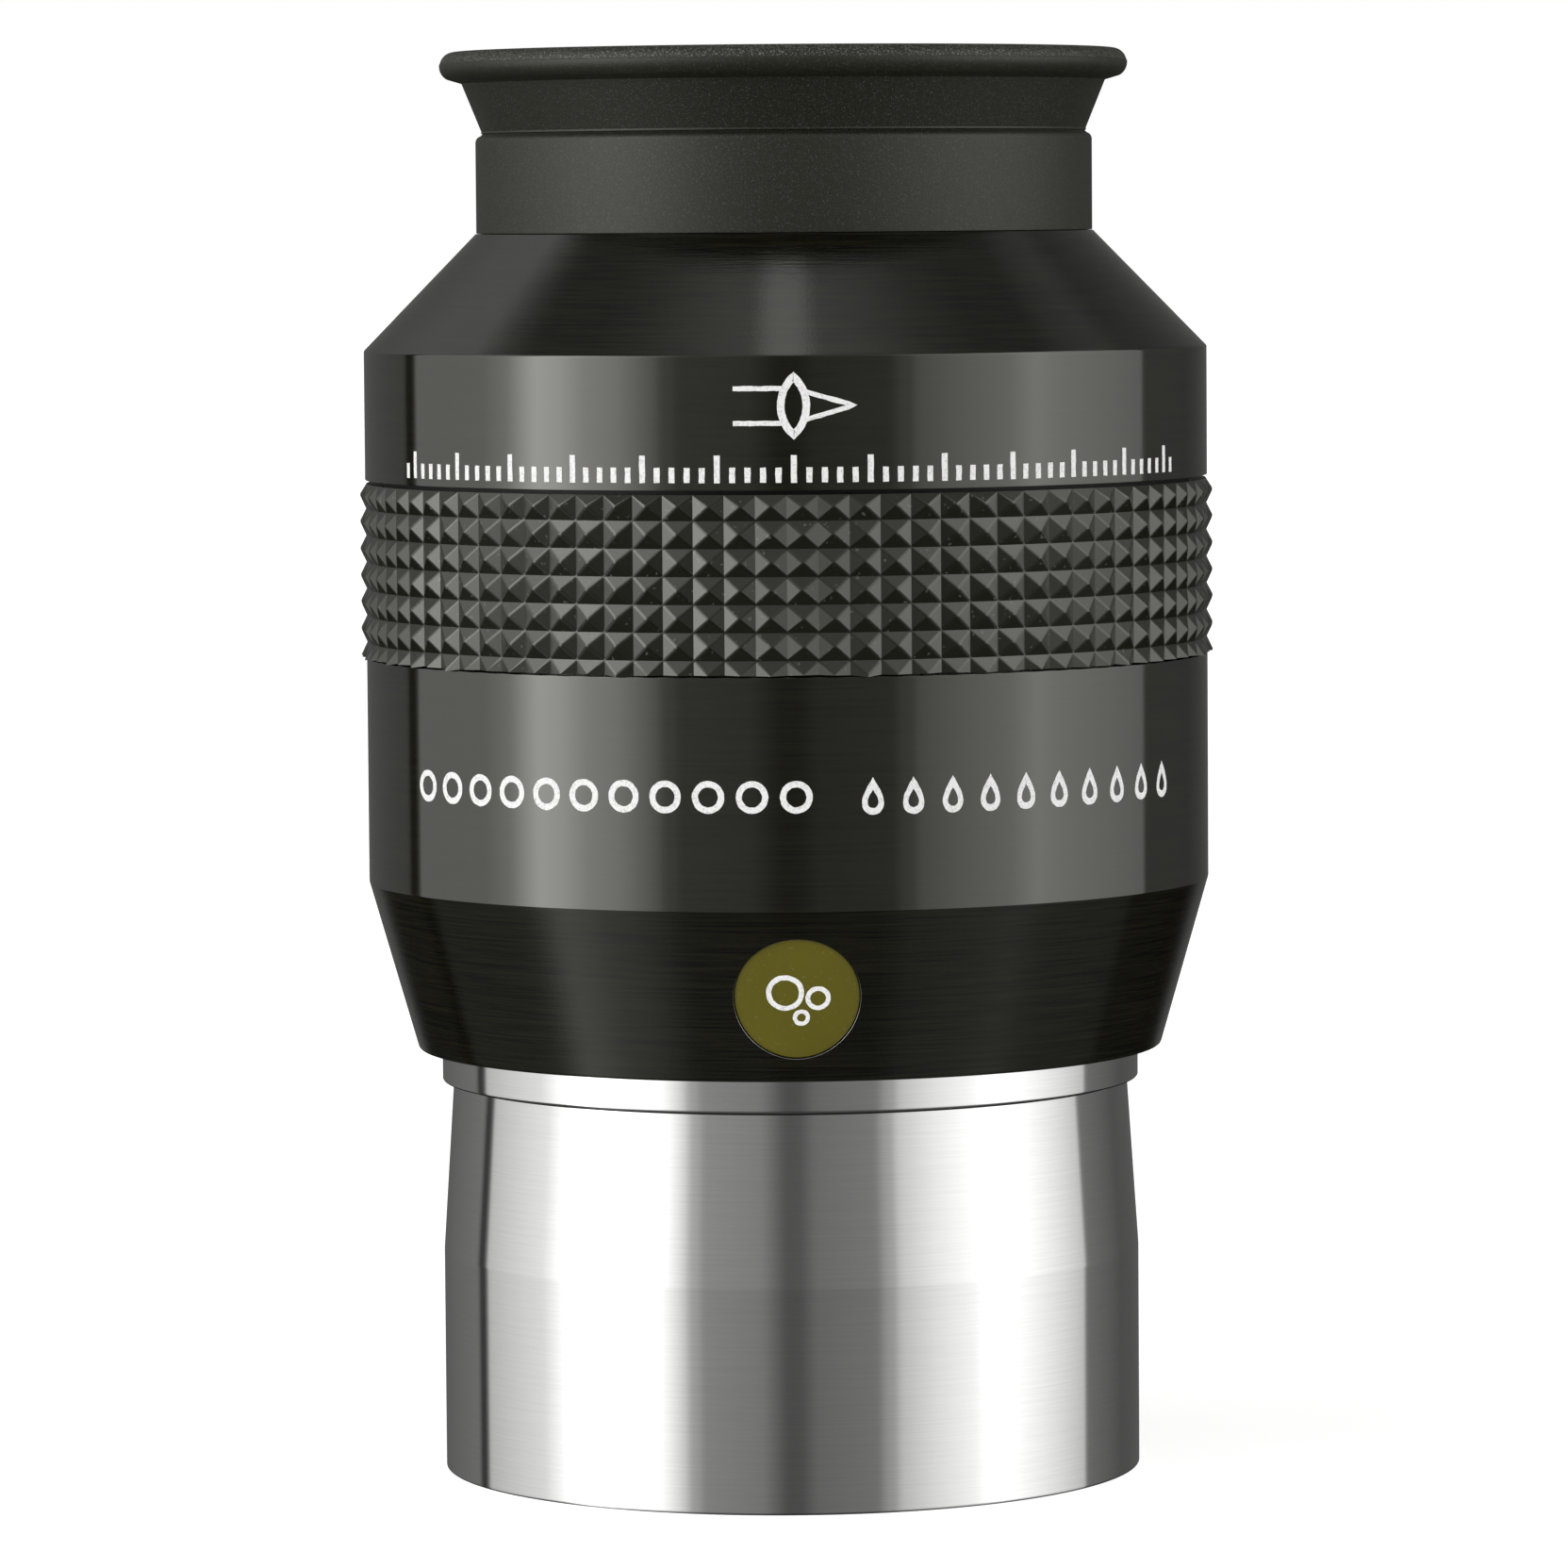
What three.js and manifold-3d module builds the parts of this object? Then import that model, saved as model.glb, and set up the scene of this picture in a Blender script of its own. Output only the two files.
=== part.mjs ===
// Two-inch telescope eyepiece, 40 mm focal length, sealed and gas-filled, with a fold-down rubber eyecup.
// Millimetres, +Z up along the optical axis, origin at the centre of the barrel's lower end face.
// The front, with the badge, faces -Y. Every turned piece is a closed profile revolved about Z.
import * as THREE from "three";
import { mergeVertices } from "three/addons/utils/BufferGeometryUtils.js";
import Module from "manifold-3d";

const wasm = await Module();
wasm.setup();

// ---- Driving dimensions -------------------------------------------------------------------------
const GAP = 0.3; // running and assembly gap between neighbours
const SEAM = 0.15; // gap between two faces that meet flat
const HAIRLINE = 0.08; // gap at the two ends of the rubber grip
const SHELL_SEGMENTS = 48; // facets round the outer pieces
const CORE_SEGMENTS = 32; // facets round the lenses and rings inside

// Two-inch barrel
const BARREL_R = 25.4;
const UNDERCUT_R = 24.6; // narrow end of the taper that stops the barrel slipping out
const TAPER_Z = 16; // the barrel is parallel below this
const FLANGE_Z = 28.4; // lower edge of the barrel's flange
const SEAT_Z = 30.8; // flat underside of the housing, which stops on the focuser
const COUNTERBORE = 0.3; // depth of the recess in the housing that the barrel's flange sits in
const FILTER_THREAD_R = 23.75; // mean radius of the M48 x 0.75 filter thread
const FILTER_THREAD_TOP = 6;
const BARREL_BORE_R = 23.1;
const BARREL_THROAT_R = 21.6;
const SPIGOT_R = 23.9; // threaded spigot on top of the barrel
const SPIGOT_TOP = 36.3;

// Housing
const SEAT_R = 27.1; // outer radius of the housing's underside
const BODY_R = 30.6;
const CONE_TOP = 43;
const GRIP_BOTTOM = 59.3;
const GRIP_TOP = 72;
const SHOULDER_Z = 81.5;
const NECK_R = 20.65;
const NECK_BOTTOM = 89.9;
const NECK_TOP = 96.6;
const GRIP_SEAT_R = 29.25;
const JOINT_R = 27.3; // threaded spigot of the lower housing
const JOINT_TOP = 64;
const HOUSING_SEAL_Z = 62.2;
const CAVITY_R = 23.9;
const CAVITY_TOP = 84.5;
const LOCK_BORE_R = 25.3;

// Rubber grip
const TEETH = 88;
const TOOTH_ROWS = 6; // rows above the last, which is cut just past its points
const TOOTH_PITCH = 1.937;
const TOP_TRIM = 0.13; // height cut off the first row
const TOOTH_VALLEY_R = 30.55;
const TOOTH_POINT_R = 31.1;

// Rubber eyecup
const CUP_R = 22.35;
const CUP_BOTTOM = 90.05;
const HINGE_Z = 97.1; // notch at which the skirt folds
const SKIRT_FOOT_R = 21.84;
const SKIRT_HEAD_R = 23.3;
const SKIRT_WALL = 1.1;
const LIP_Z = 101.95; // height of the lip's nose
const LIP_R = 24.93;
const LIP_BORE_R = 22.75;
const CUP_TOP = 103.05;

// Optics: field doublet, single lens and eye doublet, from below upwards
const FOCAL_PLANE_Z = 22; // height of the field stop
const FIELD_STOP_R = 17.9;
const FIELD_VERTEX_Z = 52.2; // lowest lens surface
const FIELD_LENS_R = 20;
const EYE_LENS_R = 18;
const DOUBLET_CURVE = 69.4; // radius of the crowns' curved faces
const SINGLE_CURVE = 143.4;
const FLINT_T = 2.5;
const FIELD_CROWN_T = 8.4;
const SINGLE_T = 5;
const EYE_CROWN_T = 7.2;
const CEMENT = 0.1;
const AIR = 0.8;
const SLOT_WIDTH = 2; // spanner slots in the threaded rings
const SLOT_DEPTH = 0.8;

// Lens cell, the tube that holds the lenses
const CELL_R = 22.6;
const CELL_BOTTOM = 47.5;
const CELL_TOP = CAVITY_TOP - GAP;
const CELL_LOWER_BORE_R = FIELD_LENS_R + GAP;
const CELL_UPPER_BORE_R = EYE_LENS_R + GAP;
const CELL_SEAL_Z = 51;
const CELL_FLANGE_R = 25;
const CELL_FLANGE_Z = [66.9, 68.4];

// Badge on the housing's lower cone
const BADGE_R = 4.5;
const BADGE_Z = 36.75;
const BADGE_TURN = THREE.MathUtils.degToRad(1);
const BADGE_T = 0.35;
const BADGE_SUNK = 0.1; // depth of the badge's face below the cone

// Gas filling port, under the rubber grip at the back
const PORT_Z = 70;
const PORT_R = 1.75;
const PORT_SEAT_R = 26.2; // where the port narrows

// ---- Materials ----------------------------------------------------------------------------------
const standard = (color, roughness, metalness) =>
  new THREE.MeshStandardMaterial({ color, roughness, metalness });
const chrome = standard(0xc9cacb, 0.2, 1);
const anodised = standard(0x1b1b19, 0.35, 0.6);
const blackened = standard(0x101010, 0.7, 0.3);
const rubber = standard(0x2c2c2a, 0.75, 0);
const sealRubber = standard(0x151515, 0.6, 0);
const glass = standard(0xdfeee6, 0.05, 0);
const label = standard(0x5f5a14, 0.4, 0);
const steel = standard(0x8c8c8c, 0.35, 1);

// ---- Geometry helpers ---------------------------------------------------------------------------
// A closed ring of revolution about Z. The profile is [radius, height] pairs, in order round the section.
function turned(profile, segments) {
  const area = profile.reduce((sum, [r, z], i) => {
    const [r2, z2] = profile[(i + 1) % profile.length];
    return sum + r * z2 - r2 * z;
  }, 0);
  const ordered = area > 0 ? profile : [...profile].reverse();
  const points = ordered.map(([r, z]) => new THREE.Vector2(r, z));
  const touchesAxis = points.some((p) => p.x === 0);
  if (!touchesAxis) points.push(points[0].clone());
  return new THREE.LatheGeometry(points, segments).rotateX(Math.PI / 2);
}

// A seal cord between two radii, with its section's height, centred on a height.
function sealRing(inner, outer, z, height) {
  const middle = (inner + outer) / 2;
  const half = (outer - inner) / 4;
  const profile = [
    [inner, z],
    [middle - half, z - height / 2],
    [middle + half, z - height / 2],
    [outer, z],
    [middle + half, z + height / 2],
    [middle - half, z + height / 2],
  ];
  return turned(profile, CORE_SEGMENTS);
}

// Points of a spherical lens face from the axis to the rim. curve > 0 rises towards the rim.
function lensFace(vertexZ, curve, rim, steps = 2) {
  return Array.from({ length: steps + 1 }, (_, i) => {
    const r = (rim * i) / steps;
    const sag = Math.abs(curve) - Math.sqrt(curve * curve - r * r);
    return [r, vertexZ + Math.sign(curve) * sag];
  });
}

// A lens between a lower and an upper face, each a list of points from the axis to the rim.
const lensProfile = (lower, upper) => [...lower, ...[...upper].reverse()];

function toSolid(geometry) {
  const bare = geometry.index ? geometry.toNonIndexed() : geometry.clone();
  for (const name of Object.keys(bare.attributes)) {
    if (name !== "position") bare.deleteAttribute(name);
  }
  const merged = mergeVertices(bare, 1e-3);
  const mesh = new wasm.Mesh({
    numProp: 3,
    vertProperties: merged.attributes.position.array,
    triVerts: new Uint32Array(merged.index.array),
  });
  return new wasm.Manifold(mesh);
}

function toGeometry(solid) {
  const mesh = solid.getMesh();
  const geometry = new THREE.BufferGeometry();
  geometry.setAttribute("position", new THREE.BufferAttribute(mesh.vertProperties, 3));
  geometry.setIndex(new THREE.BufferAttribute(mesh.triVerts, 1));
  geometry.computeVertexNormals();
  return geometry;
}

// A rod along Y from y1 to y2, at a height and with its own number of sides.
function rodAlongY(radius, y1, y2, z, sides) {
  const rod = new THREE.CylinderGeometry(radius, radius, Math.abs(y2 - y1), sides);
  return rod.translate(0, (y1 + y2) / 2, z);
}

// A ring with a pair of spanner slots across one of its flat faces.
function withSpannerSlots(profile, faceZ, reach) {
  const slots = new THREE.BoxGeometry(2 * reach, SLOT_WIDTH, 2 * SLOT_DEPTH).translate(0, 0, faceZ);
  return toGeometry(toSolid(turned(profile, CORE_SEGMENTS)).subtract(toSolid(slots)));
}

const eyepiece = new THREE.Group();
function add(name, geometry, material) {
  const mesh = new THREE.Mesh(geometry, material);
  mesh.name = name;
  eyepiece.add(mesh);
}

// ---- Barrel -------------------------------------------------------------------------------------
function barrelProfile() {
  const edge = 0.3;
  const flangeTop = SEAT_Z + COUNTERBORE - SEAM;
  const groove = { top: SEAT_Z + 1.5, r: SPIGOT_R - 1 };
  const shelf = FOCAL_PLANE_Z + 0.6;
  return [
    [FILTER_THREAD_R + edge, 0],
    [BARREL_R - edge, 0],
    [BARREL_R, edge],
    [BARREL_R, TAPER_Z],
    [UNDERCUT_R, FLANGE_Z - 0.15],
    [UNDERCUT_R, FLANGE_Z],
    [BARREL_R, FLANGE_Z],
    [BARREL_R, flangeTop],
    [groove.r, flangeTop],
    [groove.r, groove.top],
    [SPIGOT_R, groove.top],
    [SPIGOT_R, SPIGOT_TOP],
    [BARREL_THROAT_R, SPIGOT_TOP],
    [BARREL_THROAT_R, shelf],
    [BARREL_BORE_R, shelf],
    [BARREL_BORE_R, FILTER_THREAD_TOP],
    [FILTER_THREAD_R, FILTER_THREAD_TOP - 0.5],
    [FILTER_THREAD_R, edge],
  ];
}

// The field stop is a threaded ring whose thin lip is the edge of the visible field.
function fieldStopGeometry() {
  const rim = BARREL_BORE_R - GAP;
  const bottom = FOCAL_PLANE_Z - 2.6;
  const profile = [
    [FIELD_STOP_R, FOCAL_PLANE_Z],
    [FIELD_STOP_R + 0.9, FOCAL_PLANE_Z - 0.9],
    [rim - 1.8, FOCAL_PLANE_Z - 0.9],
    [rim - 1.8, bottom],
    [rim, bottom],
    [rim, FOCAL_PLANE_Z + 0.3],
    [FIELD_STOP_R + 0.3, FOCAL_PLANE_Z + 0.3],
  ];
  return withSpannerSlots(profile, bottom, rim + 1);
}

function buildBarrel() {
  add("barrel", turned(barrelProfile(), SHELL_SEGMENTS), chrome);
  add("barrel_seal", sealRing(SPIGOT_R - 0.7, SPIGOT_R + 0.1, SEAT_Z + 0.85, 0.9), sealRubber);
  add("field_stop", fieldStopGeometry(), blackened);
}

// ---- Housing ------------------------------------------------------------------------------------
const coneRadiusAt = (z) => SEAT_R + ((BODY_R - SEAT_R) * (z - SEAT_Z)) / (CONE_TOP - SEAT_Z);

// The housing's lower cone moved in or out by an offset, as a plain solid.
function coneSolid(offset) {
  const low = SEAT_Z - 5;
  const high = CONE_TOP + 5;
  const profile = [
    [0, low],
    [coneRadiusAt(low) + offset, low],
    [coneRadiusAt(high) + offset, high],
    [0, high],
  ];
  return toSolid(turned(profile, SHELL_SEGMENTS));
}

// A round plug through the cone's surface, square to it, at the badge's place.
function badgePlug(radius) {
  const lean = Math.atan((BODY_R - SEAT_R) / (CONE_TOP - SEAT_Z));
  const plug = new THREE.CylinderGeometry(radius, radius, 6, 24);
  plug.rotateX(lean);
  plug.translate(0, -coneRadiusAt(BADGE_Z), BADGE_Z);
  plug.rotateZ(BADGE_TURN);
  return toSolid(plug);
}

function lowerHousingProfile() {
  const edge = 0.3;
  const bore = SPIGOT_R + GAP;
  const cellBore = CELL_R + 0.35;
  const groove = { bottom: HOUSING_SEAL_Z - 0.6, top: HOUSING_SEAL_Z + 0.6, r: JOINT_R - 0.9 };
  return [
    [bore, SEAT_Z + COUNTERBORE],
    [BARREL_R + GAP, SEAT_Z + COUNTERBORE],
    [BARREL_R + GAP, SEAT_Z],
    [SEAT_R - edge, SEAT_Z],
    [SEAT_R, SEAT_Z + edge],
    [BODY_R, CONE_TOP],
    [BODY_R, GRIP_BOTTOM],
    [JOINT_R, GRIP_BOTTOM],
    [JOINT_R, groove.bottom],
    [groove.r, groove.bottom],
    [groove.r, groove.top],
    [JOINT_R, groove.top],
    [JOINT_R, JOINT_TOP],
    [LOCK_BORE_R, JOINT_TOP],
    [LOCK_BORE_R, 58],
    [cellBore, 56],
    [cellBore, SPIGOT_TOP + 0.9],
    [bore, SPIGOT_TOP + 0.6],
  ];
}

function upperHousingProfile() {
  const edge = 0.25;
  const skirtBottom = GRIP_BOTTOM + SEAM;
  return [
    [JOINT_R + GAP, skirtBottom],
    [GRIP_SEAT_R, skirtBottom],
    [GRIP_SEAT_R, GRIP_TOP],
    [BODY_R, GRIP_TOP],
    [BODY_R, SHOULDER_Z - edge],
    [BODY_R - edge, SHOULDER_Z],
    [CUP_R + 0.05, NECK_BOTTOM],
    [NECK_R, NECK_BOTTOM],
    [NECK_R, NECK_TOP - edge],
    [NECK_R - edge, NECK_TOP],
    [19.4, NECK_TOP],
    [18.4, CAVITY_TOP],
    [CAVITY_R, CAVITY_TOP],
    [CAVITY_R, CELL_FLANGE_Z[1] + GAP],
    [LOCK_BORE_R, CELL_FLANGE_Z[1] + GAP],
    [LOCK_BORE_R, JOINT_TOP + GAP],
    [JOINT_R + GAP, JOINT_TOP + GAP],
  ];
}

function buildHousing() {
  const pocket = badgePlug(BADGE_R).subtract(coneSolid(-BADGE_SUNK - BADGE_T - SEAM));
  const lower = toSolid(turned(lowerHousingProfile(), SHELL_SEGMENTS)).subtract(pocket);
  add("lower_housing", toGeometry(lower), anodised);

  const disc = badgePlug(BADGE_R - SEAM).intersect(coneSolid(-BADGE_SUNK));
  const badge = disc.subtract(coneSolid(-BADGE_SUNK - BADGE_T));
  add("badge", toGeometry(badge), label);

  const port = toSolid(rodAlongY(PORT_R, PORT_SEAT_R, GRIP_SEAT_R + 1, PORT_Z, 12));
  const channel = toSolid(rodAlongY(PORT_R / 2, CAVITY_R - 1, PORT_SEAT_R + 1, PORT_Z, 12));
  const upper = toSolid(turned(upperHousingProfile(), SHELL_SEGMENTS));
  add("upper_housing", toGeometry(upper.subtract(port).subtract(channel)), anodised);

  add("housing_seal", sealRing(JOINT_R - 0.6, JOINT_R + 0.1, HOUSING_SEAL_Z, 0.9), sealRubber);
}

function buildFillingPort() {
  const radius = PORT_R - GAP;
  const washerFace = PORT_SEAT_R + SEAM + 0.6;
  const washer = toSolid(rodAlongY(radius, PORT_SEAT_R + SEAM, washerFace, PORT_Z, 12));
  const washerHole = toSolid(rodAlongY(PORT_R / 2, PORT_SEAT_R - 1, washerFace + 1, PORT_Z, 12));
  add("port_washer", toGeometry(washer.subtract(washerHole)), sealRubber);

  const headFace = GRIP_SEAT_R - 0.3;
  const screw = toSolid(rodAlongY(radius, washerFace + SEAM, headFace, PORT_Z, 12));
  const socket = toSolid(rodAlongY(radius / 2, headFace - 1, headFace + 1, PORT_Z, 6));
  add("port_screw", toGeometry(screw.subtract(socket)), steel);
}

// ---- Rubber grip with pyramid teeth -------------------------------------------------------------
function gripGeometry() {
  const top = GRIP_TOP - HAIRLINE;
  const bottom = GRIP_BOTTOM + HAIRLINE;
  const step = (2 * Math.PI) / TEETH;
  const positions = [];
  const at = (r, angle, z) => [r * Math.sin(angle), -r * Math.cos(angle), z];
  const triangle = (...corners) => corners.forEach((corner) => positions.push(...corner));
  const quad = (a, b, c, d) => {
    triangle(a, b, c);
    triangle(a, c, d);
  };

  const rowTop = (row) => top + TOP_TRIM - row * TOOTH_PITCH;
  const lastRowTop = rowTop(TOOTH_ROWS);
  const past = (lastRowTop - bottom - TOOTH_PITCH / 2) / (TOOTH_PITCH / 2);
  const cutR = TOOTH_POINT_R - past * (TOOTH_POINT_R - TOOTH_VALLEY_R);
  const innerR = GRIP_SEAT_R + GAP;

  for (let tooth = 0; tooth < TEETH; tooth++) {
    const left = tooth * step;
    const right = left + step;
    const middle = left + step / 2;
    for (let row = 0; row <= TOOTH_ROWS; row++) {
      const high = Math.min(top, rowTop(row));
      const point = at(TOOTH_POINT_R, middle, rowTop(row) - TOOTH_PITCH / 2);
      const upperLeft = at(TOOTH_VALLEY_R, left, high);
      const upperRight = at(TOOTH_VALLEY_R, right, high);
      triangle(upperLeft, point, upperRight);
      if (row < TOOTH_ROWS) {
        const lowerLeft = at(TOOTH_VALLEY_R, left, rowTop(row + 1));
        const lowerRight = at(TOOTH_VALLEY_R, right, rowTop(row + 1));
        triangle(upperLeft, lowerLeft, point);
        triangle(lowerLeft, lowerRight, point);
        triangle(lowerRight, upperRight, point);
        continue;
      }
      const lowerLeft = at(TOOTH_VALLEY_R, left, bottom);
      const lowerRight = at(TOOTH_VALLEY_R, right, bottom);
      const cutLeft = at(cutR, middle - (past * step) / 2, bottom);
      const cutRight = at(cutR, middle + (past * step) / 2, bottom);
      const innerLeft = at(innerR, left, bottom);
      const innerRight = at(innerR, right, bottom);
      quad(upperLeft, lowerLeft, cutLeft, point);
      quad(point, cutRight, lowerRight, upperRight);
      triangle(point, cutLeft, cutRight);
      quad(innerLeft, cutRight, cutLeft, lowerLeft);
      quad(innerLeft, innerRight, lowerRight, cutRight);
    }
    const topLeft = at(innerR, left, top);
    const topRight = at(innerR, right, top);
    quad(topLeft, at(TOOTH_VALLEY_R, left, top), at(TOOTH_VALLEY_R, right, top), topRight);
    quad(at(innerR, left, bottom), topLeft, topRight, at(innerR, right, bottom));
  }

  const geometry = new THREE.BufferGeometry();
  geometry.setAttribute("position", new THREE.Float32BufferAttribute(positions, 3));
  geometry.computeVertexNormals();
  return geometry;
}

// ---- Rubber eyecup ------------------------------------------------------------------------------
function buildEyecup() {
  const round = 0.5;
  const bandTop = HINGE_Z - SEAM;
  const band = [
    [NECK_R + GAP, CUP_BOTTOM],
    [CUP_R, CUP_BOTTOM],
    [CUP_R, bandTop - round],
    [CUP_R - 0.15, bandTop - 0.15],
    [CUP_R - round, bandTop],
    [NECK_R + GAP, bandTop],
  ];
  add("eyecup_band", turned(band, SHELL_SEGMENTS), rubber);

  const skirtFoot = HINGE_Z + SEAM;
  const skirtHead = LIP_Z - 1.25;
  const skirt = [
    [SKIRT_FOOT_R - SKIRT_WALL, skirtFoot],
    [SKIRT_FOOT_R, skirtFoot],
    [SKIRT_HEAD_R, skirtHead],
    [SKIRT_HEAD_R - SKIRT_WALL, skirtHead],
  ];
  add("eyecup_skirt", turned(skirt, SHELL_SEGMENTS), rubber);

  const lip = [
    [LIP_BORE_R, LIP_Z - 1],
    [LIP_BORE_R + 0.8, LIP_Z - 1.05],
    [LIP_R - 0.5, LIP_Z - 0.65],
    [LIP_R, LIP_Z],
    [LIP_R - 0.4, LIP_Z + 0.7],
    [LIP_R - 1.1, CUP_TOP],
    [LIP_BORE_R + 0.3, CUP_TOP - 0.15],
  ];
  add("eyecup_lip", turned(lip, SHELL_SEGMENTS), rubber);
}

// ---- Lenses -------------------------------------------------------------------------------------
// Heights of the lens faces on the axis, from the lowest upwards.
const FIELD_CROWN_Z = FIELD_VERTEX_Z + FLINT_T + CEMENT;
const SINGLE_Z = FIELD_CROWN_Z + FIELD_CROWN_T + AIR;
const EYE_CROWN_Z = SINGLE_Z + SINGLE_T + AIR;
const EYE_FLINT_Z = EYE_CROWN_Z + EYE_CROWN_T + CEMENT;
const EYE_VERTEX_Z = EYE_FLINT_Z + FLINT_T;

const flat = (z, rim) => [
  [0, z],
  [rim, z],
];

function buildLenses() {
  const lens = (name, lower, upper) =>
    add(name, turned(lensProfile(lower, upper), CORE_SEGMENTS), glass);
  const field = FIELD_LENS_R;
  const eye = EYE_LENS_R;
  lens(
    "field_flint_lens",
    flat(FIELD_VERTEX_Z, field),
    lensFace(FIELD_CROWN_Z - CEMENT, DOUBLET_CURVE, field),
  );
  lens(
    "field_crown_lens",
    lensFace(FIELD_CROWN_Z, DOUBLET_CURVE, field),
    lensFace(FIELD_CROWN_Z + FIELD_CROWN_T, -DOUBLET_CURVE, field),
  );
  lens(
    "middle_lens",
    lensFace(SINGLE_Z, SINGLE_CURVE, field),
    lensFace(SINGLE_Z + SINGLE_T, -SINGLE_CURVE, field),
  );
  lens(
    "eye_crown_lens",
    lensFace(EYE_CROWN_Z, DOUBLET_CURVE, eye),
    lensFace(EYE_CROWN_Z + EYE_CROWN_T, -DOUBLET_CURVE, eye),
  );
  lens(
    "eye_flint_lens",
    lensFace(EYE_FLINT_Z, -DOUBLET_CURVE, eye),
    flat(EYE_VERTEX_Z, eye),
  );
}

// ---- Lens cell, spacers, retaining rings and seals ----------------------------------------------
const sag = (curve, r) => curve - Math.sqrt(curve * curve - r * r);
const plainRing = (inner, outer, low, high) => [
  [inner, low],
  [outer, low],
  [outer, high],
  [inner, high],
];

function buildCell() {
  const ledge = SINGLE_Z + SINGLE_T - sag(SINGLE_CURVE, FIELD_LENS_R) + GAP;
  const lowGroove = { bottom: CELL_SEAL_Z - 0.6, top: CELL_SEAL_Z + 0.6, r: CELL_R - 0.8 };
  const topGroove = { inner: 20, outer: 21.4, floor: CELL_TOP - 0.9 };
  const cell = [
    [CELL_LOWER_BORE_R, CELL_BOTTOM],
    [CELL_R, CELL_BOTTOM],
    [CELL_R, lowGroove.bottom],
    [lowGroove.r, lowGroove.bottom],
    [lowGroove.r, lowGroove.top],
    [CELL_R, lowGroove.top],
    [CELL_R, CELL_FLANGE_Z[0]],
    [CELL_FLANGE_R, CELL_FLANGE_Z[0]],
    [CELL_FLANGE_R, CELL_FLANGE_Z[1]],
    [CELL_R, CELL_FLANGE_Z[1]],
    [CELL_R, CELL_TOP],
    [topGroove.outer, CELL_TOP],
    [topGroove.outer, topGroove.floor],
    [topGroove.inner, topGroove.floor],
    [topGroove.inner, CELL_TOP],
    [CELL_UPPER_BORE_R, CELL_TOP],
    [CELL_UPPER_BORE_R, ledge],
    [CELL_LOWER_BORE_R, ledge],
  ];
  add("lens_cell", turned(cell, CORE_SEGMENTS), blackened);
  add("cell_lower_seal", sealRing(CELL_R - 0.65, CELL_R + 0.1, CELL_SEAL_Z, 0.9), sealRubber);
  const sealGap = SEAM;
  const sealZ = topGroove.floor + 0.55;
  const upperSeal = sealRing(topGroove.inner + sealGap, topGroove.outer - sealGap, sealZ, 0.8);
  add("cell_upper_seal", upperSeal, sealRubber);

  const lock = plainRing(CELL_R + GAP, CELL_FLANGE_R, CELL_FLANGE_Z[0] - 2.2, CELL_FLANGE_Z[0] - SEAM);
  add("cell_lock_ring", withSpannerSlots(lock, CELL_FLANGE_Z[0] - 2.2, CELL_FLANGE_R + 1), blackened);
}

function buildSpacers() {
  const upper = plainRing(
    EYE_LENS_R - 1.6,
    EYE_LENS_R,
    SINGLE_Z + SINGLE_T - sag(SINGLE_CURVE, EYE_LENS_R - 1.6) + GAP,
    EYE_CROWN_Z + sag(DOUBLET_CURVE, EYE_LENS_R - 1.6) - GAP,
  );
  add("upper_spacer", turned(upper, CORE_SEGMENTS), blackened);

  const lower = plainRing(
    FIELD_LENS_R - 1.4,
    FIELD_LENS_R,
    FIELD_CROWN_Z + FIELD_CROWN_T - sag(DOUBLET_CURVE, FIELD_LENS_R - 1.4) + GAP,
    SINGLE_Z + sag(SINGLE_CURVE, FIELD_LENS_R - 1.4) - GAP,
  );
  add("lower_spacer", turned(lower, CORE_SEGMENTS), blackened);
}

// A seal and a threaded ring hold each end of the stack. The outward side is +1 at the eye, -1 at the field.
function buildRetainer(end, lensR, lensZ, outward) {
  const cord = 0.9;
  const sealZ = lensZ + outward * (SEAM + cord / 2);
  add(`${end}_lens_seal`, sealRing(lensR - 1.3, lensR - 0.3, sealZ, cord), sealRubber);

  const nearZ = sealZ + outward * (cord / 2 + SEAM);
  const farZ = nearZ + outward * 2.2;
  const ring = plainRing(lensR - 1.8, lensR, nearZ, farZ);
  add(`${end}_lens_ring`, withSpannerSlots(ring, farZ, lensR + 1), blackened);
}

buildBarrel();
buildHousing();
buildFillingPort();
add("rubber_grip", gripGeometry(), rubber);
buildEyecup();
buildLenses();
buildCell();
buildSpacers();
buildRetainer("eye", EYE_LENS_R, EYE_VERTEX_Z, 1);
buildRetainer("field", FIELD_LENS_R, FIELD_VERTEX_Z, -1);

export default eyepiece;
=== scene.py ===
"""A two-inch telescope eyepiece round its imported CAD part: surfaces, materials, studio light, camera.

Profiles are written in millimetres as (radius, height) and turned about +Z, the optical axis. Blender
works in metres, so MM scales them. Azimuths are in degrees from the front (-Y), positive towards +X.
"""

import math
import random

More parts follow.
